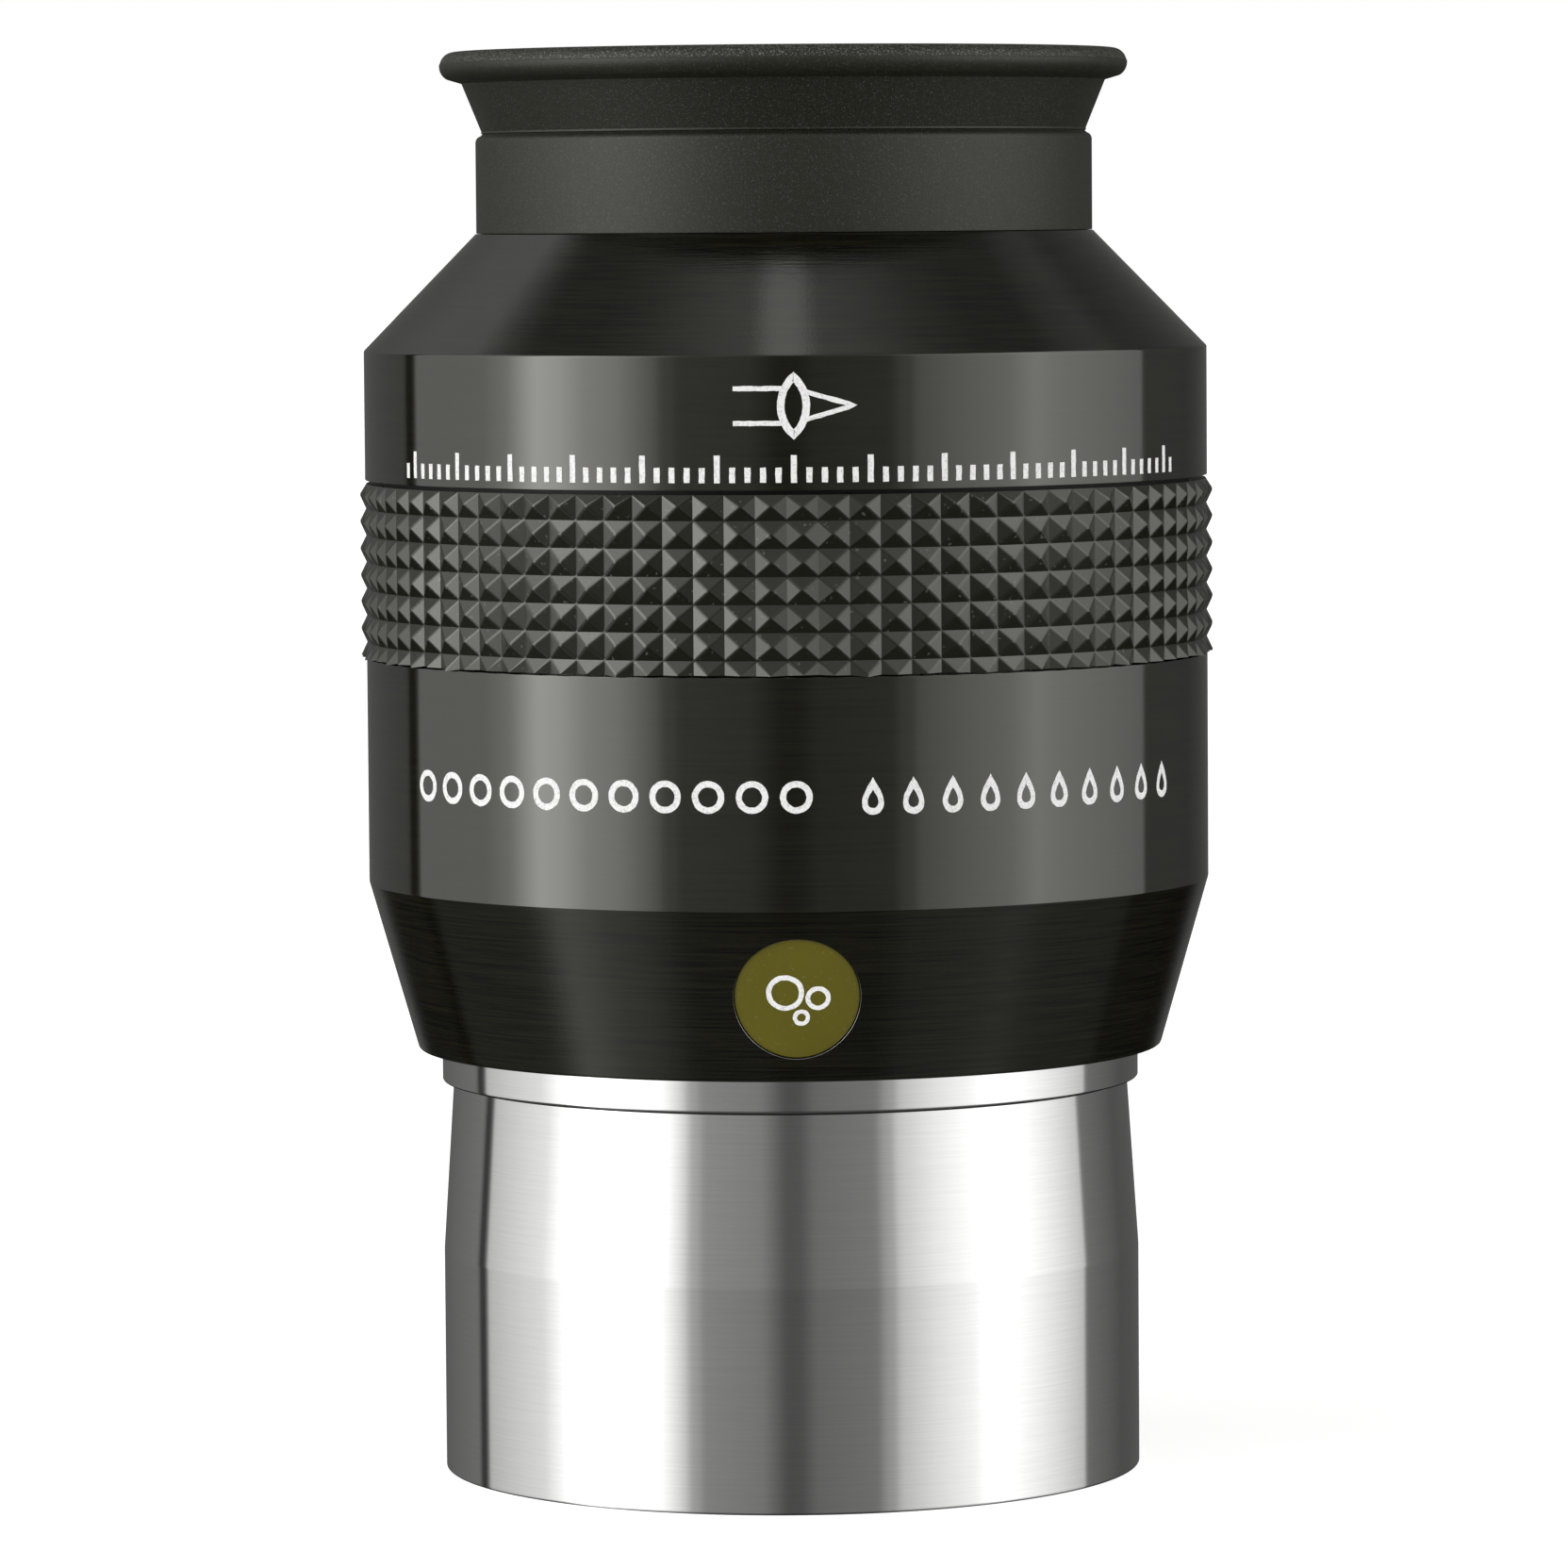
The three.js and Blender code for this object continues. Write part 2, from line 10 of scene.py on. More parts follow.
import bmesh
import bpy
import numpy as np
from mathutils import Matrix, Quaternion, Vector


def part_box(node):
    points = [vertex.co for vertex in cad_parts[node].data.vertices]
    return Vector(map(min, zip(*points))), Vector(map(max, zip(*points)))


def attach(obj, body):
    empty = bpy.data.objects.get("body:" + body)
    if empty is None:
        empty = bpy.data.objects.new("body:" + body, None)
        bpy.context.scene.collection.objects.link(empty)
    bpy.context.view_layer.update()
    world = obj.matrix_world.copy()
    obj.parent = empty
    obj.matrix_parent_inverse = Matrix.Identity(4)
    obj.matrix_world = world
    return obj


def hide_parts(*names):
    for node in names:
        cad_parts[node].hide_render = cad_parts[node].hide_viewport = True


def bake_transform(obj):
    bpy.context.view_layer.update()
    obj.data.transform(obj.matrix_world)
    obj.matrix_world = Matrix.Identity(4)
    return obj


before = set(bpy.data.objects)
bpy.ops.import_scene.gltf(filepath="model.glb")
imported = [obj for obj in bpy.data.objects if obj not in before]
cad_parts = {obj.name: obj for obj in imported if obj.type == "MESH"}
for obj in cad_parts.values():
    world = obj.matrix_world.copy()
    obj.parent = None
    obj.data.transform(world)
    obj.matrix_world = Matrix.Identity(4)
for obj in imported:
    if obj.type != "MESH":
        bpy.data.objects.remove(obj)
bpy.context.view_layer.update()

MM = 0.001
SEGMENTS = 256  # round the outside
FINE_SEGMENTS = 160  # round the lenses and rings inside
SUPPORT = 0.12  # distance from a rounded corner to the edge loop that keeps the next face flat
SHARP = 28.0  # edges that turn by more degrees than this are shaded as sharp


def span(node):
    """Outer radius, bottom and top of a turned CAD node, in millimetres."""
    low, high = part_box(node)
    return high.x / MM, low.z / MM, high.z / MM


# ---- Driving dimensions, in millimetres ----
BARREL_R, BARREL_BOTTOM, SPIGOT_TOP = span("barrel")
BODY_R, SEAT_Z, JOINT_TOP = span("lower_housing")
GRIP_POINT_R, GRIP_BOTTOM, GRIP_TOP = span("rubber_grip")
NECK_TOP = span("upper_housing")[2]
CUP_R = span("eyecup_band")[0]
LIP_R, LIP_BOTTOM, CUP_TOP = span("eyecup_lip")
SKIRT_HEAD_R, _, SKIRT_HEAD_Z = span("eyecup_skirt")
CELL_FLANGE_R, CELL_BOTTOM, CELL_TOP = span("lens_cell")

FIT_GAP = 0.3  # between parts that fit together but don't touch

TAPER_Z = 16.0  # the barrel narrows from here up to its flange
UNDERCUT_R = 24.6
FLANGE_Z = 28.4
FLANGE_TOP = 30.95
GROOVE_WIDTH = 0.2  # relief groove under the flange
GROOVE_DEPTH = 0.25
SPIGOT_R = 23.9  # the threaded end that screws into the body
SPIGOT_CHAMFER = 0.25
SEAL_SEAT_DEPTH = 1.0
SEAL_SEAT_TOP = 32.3
THREAD_PITCH = 0.75
THREAD_DEPTH = 0.4
FILTER_THREAD_R = 23.75
FILTER_THREAD_TOP = 6.0
BARREL_BORE_R = 23.1
BARREL_THROAT_R = 21.6
FIELD_STOP_R = 17.9
FOCAL_PLANE_Z = 22.0

SEAT_R = 27.1
CONE_TOP = 43.0
GAP_BELOW, GAP_ABOVE = 0.08, 0.26  # dark lines below and above the rubber grip
GRIP_SEAT_R = 29.25
JOINT_R = 27.3  # where the lower body's collar goes up inside the upper body
JOINT_BORE_R = 25.3
JOINT_BORE_BOTTOM = 58.0
LOWER_BORE_R = 22.95
LOWER_BORE_TOP = 56.0
SHOULDER_Z = 81.5
NECK_BOTTOM = 89.9
NECK_R = 20.65
CAVITY_R = 23.9
CAVITY_BOTTOM = 68.7
CAVITY_TOP = 84.5
EYE_BORE_R = (18.4, 19.4)  # bottom and top of the ridged bore above the eye lens
EYE_BORE_RIDGE = 0.3
EYE_BORE_RIDGES = 14

TEETH = 88
TOOTH_ROWS = 6  # whole rows; one more is cut just past its points
TOOTH_PITCH = 1.937
TOP_TRIM = 0.13  # height cut off the first row
TOOTH_VALLEY_R = 30.55

HINGE_Z = 97.1
SKIRT_FOOT_R = 21.84

BADGE_R = 4.5
BADGE_Z = 36.75
BADGE_AZIMUTH = 1.0
BADGE_SUNK = 0.14
BADGE_THICK = 0.5


# ---- Node helpers ----
def node(tree, kind, inputs=None, **settings):
    """A new node. Each input is a value, or the socket of another node that feeds it."""
    made = tree.nodes.new(kind)
    for name, value in settings.items():
        setattr(made, name, value)
    for key, value in (inputs or {}).items():
        if isinstance(value, bpy.types.NodeSocket):
            tree.links.new(value, made.inputs[key])
        else:
            made.inputs[key].default_value = value
    return made


def calc(tree, operation, *values):
    return node(tree, "ShaderNodeMath", dict(enumerate(values)), operation=operation).outputs[0]


def vector_calc(tree, operation, *values):
    made = node(tree, "ShaderNodeVectorMath", dict(enumerate(values)), operation=operation)
    return made.outputs[0]


def ramp(tree, factor, stops, interpolation="LINEAR"):
    """A colour ramp from (position, value or colour) stops."""
    made = node(tree, "ShaderNodeValToRGB", {0: factor})
    made.color_ramp.interpolation = interpolation
    elements = made.color_ramp.elements
    while len(elements) < len(stops):
        elements.new(0.5)
    for element, (position, value) in zip(elements, stops):
        element.position = position
        colour = value if hasattr(value, "__len__") else (value, value, value)
        element.color = (*colour, 1.0)
    return made.outputs["Color"]


def between(tree, factor, low, high):
    """factor from 0 to 1, spread from low to high."""
    return node(tree, "ShaderNodeMapRange", {0: factor, 3: low, 4: high}).outputs[0]


def noise(tree, coordinates, scale, detail=2.0, roughness=0.5):
    settings = {"Vector": coordinates, "Scale": scale, "Detail": detail, "Roughness": roughness}
    return node(tree, "ShaderNodeTexNoise", settings).outputs[0]


def mixed(tree, factor, first, second):
    made = node(tree, "ShaderNodeMix", {0: factor}, data_type="RGBA")
    for index, colour in ((6, first), (7, second)):
        if isinstance(colour, bpy.types.NodeSocket):
            tree.links.new(colour, made.inputs[index])
        else:
            made.inputs[index].default_value = (*colour, 1.0)
    return made.outputs[2]


def object_coordinates(tree):
    return node(tree, "ShaderNodeTexCoord").outputs["Object"]


def turning_coordinates(tree, around, along):
    """Coordinates that run slowly round the axis and fast along it, as a lathe tool's marks do."""
    place = object_coordinates(tree)
    outwards = vector_calc(tree, "NORMALIZE", vector_calc(tree, "MULTIPLY", place, (1, 1, 0)))
    turned_part = vector_calc(tree, "MULTIPLY", outwards, (around, around, 0))
    height_part = vector_calc(tree, "MULTIPLY", place, (0, 0, along))
    return vector_calc(tree, "ADD", turned_part, height_part)


def new_material(name, **shader_inputs):
    """A material and its Principled shader, whose uniform values are set on its own sockets."""
    made = bpy.data.materials.new(name)
    made.use_nodes = True
    shader = made.node_tree.nodes["Principled BSDF"]
    for key, value in shader_inputs.items():
        shader.inputs[key.replace("_", " ")].default_value = value
    return made, made.node_tree, shader


def bump(tree, shader, height, distance):
    made = node(tree, "ShaderNodeBump", {"Height": height, "Distance": distance, "Strength": 1.0})
    tree.links.new(made.outputs[0], shader.inputs["Normal"])


def circumferential(tree, shader):
    """Lays the grain round the axis, so that a highlight is drawn out along the axis."""
    shader.inputs["Anisotropic Rotation"].default_value = 0.25
    tangent = node(tree, "ShaderNodeTangent", direction_type="RADIAL", axis="Z")
    tree.links.new(tangent.outputs[0], shader.inputs["Tangent"])


# ---- Materials ----
PEEL = 0.35  # height of a turned surface's orange peel, as a share of its turning marks
WARM_GLOSS = (1.0, 1.0, 0.955, 1.0)  # black finishes reflect a little less blue


def turned_metal(name, dark, light, roughness, mark_depth, **settings):
    """Metal finished on a lathe: fine circular marks, patchy roughness and a faint orange peel."""
    material, tree, shader = new_material(name, **settings)
    marks = noise(tree, turning_coordinates(tree, 3.4, 7600.0), 1.0, 3.0, 0.7)
    peel = noise(tree, object_coordinates(tree), 5200.0, 1.0)
    bands = noise(tree, turning_coordinates(tree, 1.5, 2600.0), 1.0, 2.0)
    smears = noise(tree, object_coordinates(tree), 90.0, 4.0, 0.6)
    colour = mixed(tree, ramp(tree, marks, ((0.36, 0.0), (0.64, 1.0))), dark, light)
    tree.links.new(colour, shader.inputs["Base Color"])
    low, high = roughness
    patchy = calc(tree, "ADD", calc(tree, "MULTIPLY", bands, 0.5), calc(tree, "MULTIPLY", smears, 0.5))
    tree.links.new(between(tree, patchy, low, high), shader.inputs["Roughness"])
    bump(tree, shader, calc(tree, "ADD", marks, calc(tree, "MULTIPLY", peel, PEEL)), mark_depth)
    circumferential(tree, shader)
    return material


def black_anodised(name, **settings):
    return turned_metal(name, IOR=1.68, Specular_Tint=WARM_GLOSS, **settings)


# This finish also stands as painted shade in the barrel's flange groove and in the gap above the grip.
def blackened():
    """Matt black inside finish, with fine machining marks."""
    material, tree, shader = new_material("blackened_metal", IOR=1.5)
    marks = noise(tree, turning_coordinates(tree, 3.0, 4200.0), 1.0, 3.0)
    grain = noise(tree, object_coordinates(tree), 3800.0, 2.0)
    colour = mixed(tree, grain, (0.006, 0.006, 0.006), (0.016, 0.016, 0.016))
    tree.links.new(colour, shader.inputs["Base Color"])
    tree.links.new(between(tree, marks, 0.42, 0.62), shader.inputs["Roughness"])
    bump(tree, shader, marks, 4.0e-6)
    return material


def moulded_rubber(name, dark, light, roughness, grain_depth, specks, ior=1.5):
    """Rubber with a fine moulded grain, slow changes of shade and pale specks.

    The specks are their scale, the level of noise where they start, and their colour.
    """
    material, tree, shader = new_material(name, IOR=ior, Specular_Tint=WARM_GLOSS)
    place = object_coordinates(tree)
    grain = noise(tree, place, 9000.0, 2.0, 0.6)
    clouds = noise(tree, place, 70.0, 3.0, 0.55)
    scale, start, pale = specks
    spots = ramp(tree, noise(tree, place, scale, 1.0), ((start, 0.0), (start + 0.08, 1.0)))
    colour = mixed(tree, spots, mixed(tree, clouds, dark, light), pale)
    tree.links.new(colour, shader.inputs["Base Color"])
    low, high = roughness
    tree.links.new(between(tree, grain, low, high), shader.inputs["Roughness"])
    bump(tree, shader, grain, grain_depth)
    return material


def white_ink():
    """Screen-printed ink, slightly thin and uneven."""
    material, tree, shader = new_material("white_ink", IOR=1.45)
    mesh_marks = noise(tree, object_coordinates(tree), 6200.0, 3.0, 0.7)
    shade = ramp(tree, mesh_marks, ((0.36, (0.50, 0.50, 0.49)), (0.5, (0.73, 0.73, 0.72))))
    tree.links.new(shade, shader.inputs["Base Color"])
    tree.links.new(between(tree, mesh_marks, 0.35, 0.6), shader.inputs["Roughness"])
    bump(tree, shader, mesh_marks, 3.0e-6)
    return material


def olive_enamel():
    """Enamel with a slight orange-peel surface and fine dust."""
    material, tree, shader = new_material("olive_enamel", IOR=1.42)
    place = object_coordinates(tree)
    clouds = noise(tree, place, 260.0, 2.0)
    dust = noise(tree, place, 5200.0, 1.0)
    body = mixed(tree, clouds, (0.082, 0.071, 0.0), (0.100, 0.086, 0.002))
    colour = mixed(tree, ramp(tree, dust, ((0.68, 0.0), (0.76, 0.25))), body, (0.26, 0.23, 0.10))
    tree.links.new(colour, shader.inputs["Base Color"])
    tree.links.new(between(tree, dust, 0.28, 0.42), shader.inputs["Roughness"])
    bump(tree, shader, clouds, 1.5e-5)
    return material


def coated_glass(name, ior, body, film):
    """Optical glass under an anti-reflection coating, whose thickness in nanometres sets its tint."""
    material, tree, shader = new_material(
        name,
        IOR=ior,
        Transmission_Weight=1.0,
        Thin_Film_Thickness=film,
        Thin_Film_IOR=1.38,
    )
    haze = noise(tree, object_coordinates(tree), 900.0, 2.0)
    tree.links.new(mixed(tree, haze, body, tuple(0.985 * c for c in body)), shader.inputs["Base Color"])
    tree.links.new(between(tree, haze, 0.0, 0.012), shader.inputs["Roughness"])
    return material


RUBBER_SHADES = {"dark": (0.0052, 0.0053, 0.0018), "light": (0.0086, 0.0088, 0.0036)}
ANODISED = black_anodised(
    "black_anodised_cylinder",
    dark=(0.0011, 0.0010, 0.0001),
    light=(0.0046, 0.0044, 0.0014),
    roughness=(0.045, 0.09),
    mark_depth=1.2e-6,
    Anisotropic=0.45,
)
ANODISED_CONE = black_anodised(
    "black_anodised_cone",
    dark=(0.0, 0.0, 0.0),
    light=(0.0060, 0.0058, 0.0024),
    roughness=(0.06, 0.16),
    mark_depth=6.5e-6,
    Anisotropic=0.7,
)
CHROME = turned_metal(
    "bright_chrome",
    dark=(0.57, 0.57, 0.57),
    light=(0.60, 0.60, 0.60),
    roughness=(0.085, 0.105),
    mark_depth=2.0e-7,
    Metallic=1.0,
    Anisotropic=0.5,
)
BLACKENED = blackened()
CUP_RUBBER = moulded_rubber(
    "eyecup_rubber",
    **RUBBER_SHADES,
    roughness=(0.44, 0.60),
    grain_depth=1.5e-5,
    specks=(9500.0, 0.60, (0.030, 0.031, 0.026)),
)
CUP_TOP_RUBBER = moulded_rubber(
    "eyecup_top_rubber",
    **RUBBER_SHADES,
    roughness=(0.46, 0.64),
    grain_depth=1.6e-5,
    specks=(8500.0, 0.55, (0.090, 0.092, 0.082)),
)
GRIP_RUBBER = moulded_rubber(
    "grip_rubber",
    dark=(0.0034, 0.0035, 0.0010),
    light=(0.0062, 0.0063, 0.0024),
    roughness=(0.15, 0.26),
    grain_depth=3e-6,
    specks=(2600.0, 0.70, (0.050, 0.051, 0.046)),
    ior=1.66,
)
SEAL_RUBBER = moulded_rubber(
    "seal_rubber",
    dark=(0.008, 0.008, 0.008),
    light=(0.014, 0.014, 0.014),
    roughness=(0.30, 0.44),
    grain_depth=3e-6,
    specks=(2600.0, 0.72, (0.03, 0.03, 0.03)),
)
INK = white_ink()
ENAMEL = olive_enamel()
STEEL = turned_metal(
    "bright_steel",
    dark=(0.34, 0.34, 0.34),
    light=(0.50, 0.50, 0.51),
    roughness=(0.18, 0.30),
    mark_depth=1.2e-6,
    Metallic=1.0,
    Anisotropic=0.3,
)
CROWN_GLASS = coated_glass("crown_glass", 1.52, (0.985, 0.995, 0.985), 118.0)
FLINT_GLASS = coated_glass("flint_glass", 1.62, (0.98, 0.99, 0.975), 104.0)

# The body's finishes, in the order of its material slots.
BODY_FINISHES = [ANODISED, ANODISED_CONE, BLACKENED]
# INSIDE_OR_PAINTED_SHADE is the matt black of the inside, also laid on the gap above the grip as painted
# shade.
ON_CYLINDER, ON_CONE, INSIDE_OR_PAINTED_SHADE = 0, 1, 2


# ---- Mesh helpers ----
def mesh_object(name, vertices, faces, materials, face_materials=None, sharp_degrees=SHARP):
    """A mesh object from vertices in millimetres, smooth except across edges sharper than an angle."""
    mesh = bpy.data.meshes.new(name)
    scaled = (np.asarray(vertices, float) * MM).tolist()
    mesh.from_pydata(scaled, [], [list(map(int, f)) for f in faces])
    for material in materials:
        mesh.materials.append(material)
    if face_materials is not None:
        mesh.polygons.foreach_set("material_index", np.asarray(face_materials, np.int32))
    made = bpy.data.objects.new(name, mesh)
    bpy.context.scene.collection.objects.link(made)
    shade(made, sharp_degrees)
    return made


def shade(piece, sharp_degrees):
    smooth = sharp_degrees > 0
    piece.data.polygons.foreach_set("use_smooth", [smooth] * len(piece.data.polygons))
    if smooth:
        piece.data.set_sharp_from_angle(angle=math.radians(sharp_degrees))
    piece.data.update()


def clean(piece, sharp_degrees, merge=False, outward=False):
    """Merges the points that lie together, turns the faces outwards, or both, and shades again."""
    bm = bmesh.new()
    bm.from_mesh(piece.data)
    if merge:
        bmesh.ops.remove_doubles(bm, verts=bm.verts, dist=1e-8)
        bmesh.ops.dissolve_degenerate(bm, edges=bm.edges, dist=1e-9)
    if outward:
        bmesh.ops.recalc_face_normals(bm, faces=bm.faces)
    bm.to_mesh(piece.data)
    bm.free()
    shade(piece, sharp_degrees)


def rounded(outline, steps=5):
    """The outline's points. A corner with a third number is rounded by that radius."""
    points = []
    for i, corner in enumerate(outline):
        here = np.array(corner[:2], float)
        if len(corner) < 3:
            points.append(here)
            continue
        back = np.array(outline[i - 1][:2], float) - here
        ahead = np.array(outline[(i + 1) % len(outline)][:2], float) - here
        back_length, ahead_length = np.linalg.norm(back), np.linalg.norm(ahead)
        back, ahead = back / back_length, ahead / ahead_length
        half_angle = math.acos(max(-1.0, min(1.0, float(back @ ahead)))) / 2
        reach = min(corner[2] / math.tan(half_angle), 0.45 * back_length, 0.45 * ahead_length)
        start, end = here + back * reach, here + ahead * reach
        points.append(start + back * min(SUPPORT, 0.1 * (back_length - reach)))
        for t in np.linspace(0, 1, steps + 1):
            points.append((1 - t) ** 2 * start + 2 * t * (1 - t) * here + t * t * end)
        points.append(end + ahead * min(SUPPORT, 0.1 * (ahead_length - reach)))
    return np.array(points)


def turned(
    name, outline, materials, segments=SEGMENTS, finish=None, relief=None, sharp_degrees=SHARP
):
    """A closed profile turned about the axis.

    finish(radius, height) picks a face's material. relief(radius, height, turns) changes the radius,
    where turns is the azimuth in whole turns.
    """
    points = rounded(outline)
    r, z = points[:, 0], points[:, 1]
    if np.sum(r * np.roll(z, -1) - np.roll(r, -1) * z) < 0:
        points = points[::-1]
    r, z = np.repeat(points[:, :1], segments, 1), np.repeat(points[:, 1:], segments, 1)
    turns = np.arange(segments)[None, :] / segments
    if relief:
        r = relief(r, z, turns)
    angle = 2 * np.pi * turns
    vertices = np.stack([r * np.sin(angle), -r * np.cos(angle), z], 2).reshape(-1, 3)
    ring = np.arange(len(points))[:, None] * segments
    column = np.arange(segments)[None, :]
    next_ring, next_column = np.roll(ring, -1), np.roll(column, -1)
    corners = (ring + column, ring + next_column, next_ring + next_column, next_ring + column)
    faces = np.stack(corners, 2).reshape(-1, 4)
    chosen = None
    if finish:
        middle = (points + np.roll(points, -1, 0)) / 2
        chosen = np.repeat([finish(*m) for m in middle], segments)
    made = mesh_object(name, vertices, faces, materials, chosen, sharp_degrees)
    reaches_axis = np.any(points[:, 0] < 1e-9)
    if reaches_axis:
        clean(made, sharp_degrees, merge=True)
    return made


def cut(piece, cutter, sharp_degrees=SHARP):
    """Subtracts the cutter from the piece and removes the cutter."""
    modifier = piece.modifiers.new("cut", "BOOLEAN")
    modifier.operation = "DIFFERENCE"
    modifier.solver = "EXACT"
    modifier.object = cutter
    bpy.context.view_layer.update()
    evaluated = piece.evaluated_get(bpy.context.evaluated_depsgraph_get())
    old = piece.data
    piece.data = bpy.data.meshes.new_from_object(evaluated)
    piece.modifiers.remove(modifier)
    piece.data.name = piece.name
    bpy.data.meshes.remove(old)
    bpy.data.objects.remove(cutter)
    shade(piece, sharp_degrees)


def block(low, high, material):
    """A box between two corners in millimetres, used as a cutter."""
    xs, ys, zs = zip(low, high)
    vertices = [(x, y, z) for x in xs for y in ys for z in zs]
    faces = [(0, 1, 3, 2), (4, 6, 7, 5), (0, 4, 5, 1), (2, 3, 7, 6), (0, 2, 6, 4), (1, 5, 7, 3)]
    return mesh_object("cutter", vertices, faces, [material], sharp_degrees=0)


def place(piece, body, slot=None, *nodes):
    """Rides the piece on its CAD body, in place of the CAD nodes it stands for."""
    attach(piece, body)
    if nodes:
        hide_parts(*nodes)
    return piece


def arc(centre, radius, start, end, steps=24):
    """Points along a circular arc, from a start to an end in degrees."""
    return [
        (centre[0] + radius * math.cos(a), centre[1] + radius * math.sin(a))
        for a in np.radians(np.linspace(start, end, steps))
    ]


def build_seal(name, node_name, body="housing", points=18, segments=FINE_SEGMENTS):
    """A round rubber cord at a CAD seal's place."""
    outer, low, high = span(node_name)
    radius = (high - low) / 2
    circle = arc((outer - radius, low + radius), radius, 0, 360, points + 1)[:-1]
    ring = turned(name, circle, [SEAL_RUBBER], segments, sharp_degrees=80)
    place(ring, body, "seal_rubber", node_name)


def triangle_wave(x):
    """1 at whole numbers, 0 half-way between them."""
    return np.abs(2 * (x - np.floor(x)) - 1)


def thread(low, high, mean_r):
    """A relief that cuts a right-handed helical thread into the wall at mean_r between two heights."""

    def relief(r, z, turns):
        on_wall = (np.abs(r - mean_r) < 0.02) & (z >= low) & (z <= high)
        fade = np.clip(np.minimum(z - low, high - z) / (0.6 * THREAD_PITCH), 0, 1)
        wave = triangle_wave(z / THREAD_PITCH - turns) - 0.5
        return np.where(on_wall, r + THREAD_DEPTH * fade * np.clip(1.5 * wave, -0.5, 0.5), r)

    return relief


def wall_points(r, start, end, per_pitch=8):
    """Evenly spaced points up or down a threaded wall."""
    count = int(abs(end - start) / THREAD_PITCH * per_pitch)
    return [(r, z) for z in np.linspace(start, end, count + 1)]


# ---- Barrel ----
def build_barrel():
    seat_r = SPIGOT_R - SEAL_SEAT_DEPTH
    thread_bottom, thread_top = SEAL_SEAT_TOP + 0.15, SPIGOT_TOP - SPIGOT_CHAMFER
    filter_bottom, filter_top = 0.4, FILTER_THREAD_TOP - 0.3
    shelf = FOCAL_PLANE_Z + 0.6
    outline = [
        (FILTER_THREAD_R + 0.35, BARREL_BOTTOM, 0.08),
        (BARREL_R, BARREL_BOTTOM, 0.08),
        (BARREL_R, TAPER_Z, 2.0),
        (UNDERCUT_R, FLANGE_Z - GROOVE_WIDTH),
        (UNDERCUT_R - GROOVE_DEPTH, FLANGE_Z - GROOVE_WIDTH),
        (UNDERCUT_R - GROOVE_DEPTH, FLANGE_Z),
        (BARREL_R, FLANGE_Z, 0.12),
        (BARREL_R, FLANGE_TOP, 0.1),
        (seat_r, FLANGE_TOP, 0.1),
        (seat_r, SEAL_SEAT_TOP, 0.1),
        (SPIGOT_R - 0.15, SEAL_SEAT_TOP),
        *wall_points(SPIGOT_R, thread_bottom, thread_top),
        (SPIGOT_R - SPIGOT_CHAMFER, SPIGOT_TOP),
        (BARREL_THROAT_R, SPIGOT_TOP, 0.2),
        (BARREL_THROAT_R, shelf, 0.1),
        (BARREL_BORE_R, shelf, 0.1),
        (BARREL_BORE_R, FILTER_THREAD_TOP),
        *wall_points(FILTER_THREAD_R, filter_top, filter_bottom),
    ]
    spigot_thread = thread(thread_bottom, thread_top, SPIGOT_R)
    filter_thread = thread(filter_bottom, filter_top, FILTER_THREAD_R)

    def threads(r, z, turns):
        return filter_thread(spigot_thread(r, z, turns), z, turns)

    def finish(r, z):
        in_bore = r < BARREL_BORE_R + 0.2 and z < SPIGOT_TOP
        in_filter_thread = r < FILTER_THREAD_R + 0.2 and z < FILTER_THREAD_TOP - 0.1
        # The relief groove under the flange takes the matt black finish as painted shade: the dark line
        # under the flange.
        beside_groove = FLANGE_Z - GROOVE_WIDTH - 0.01 < z < FLANGE_Z - 0.01
        groove_painted_shade = r < UNDERCUT_R - 0.01 and beside_groove
        return int(in_bore or in_filter_thread or groove_painted_shade)

    barrel = turned("barrel_tube", outline, [CHROME, BLACKENED], finish=finish, relief=threads)
    place(barrel, "barrel", "chrome", "barrel")


def build_field_stop():
    """A ring with a thin lip at the focal plane and two spanner slots in its foot."""
    rim, low, high = span("field_stop")
    lip, wall = 0.9, 1.8
    outline = [
        (FIELD_STOP_R, FOCAL_PLANE_Z, 0.03),
        (FIELD_STOP_R + lip, FOCAL_PLANE_Z - lip, 0.1),
        (rim - wall, FOCAL_PLANE_Z - lip, 0.2),
        (rim - wall, low, 0.15),
        (rim, low, 0.15),
        (rim, high, 0.15),
        (FIELD_STOP_R + 0.3, high, 0.03),
    ]
    ring = turned("field_stop_ring", outline, [BLACKENED], FINE_SEGMENTS)
    cut(ring, block((-rim - 1, -1.0, low - 1), (rim + 1, 1.0, low + 0.8), BLACKENED))
    place(ring, "barrel", "blackened_metal", "field_stop")


# ---- Housing ----
CONE_SLOPE = (BODY_R - SEAT_R) / (CONE_TOP - SEAT_Z)
CONE_LEAN = math.atan(CONE_SLOPE)


def cone_radius(z):
    return SEAT_R + CONE_SLOPE * (z - SEAT_Z)


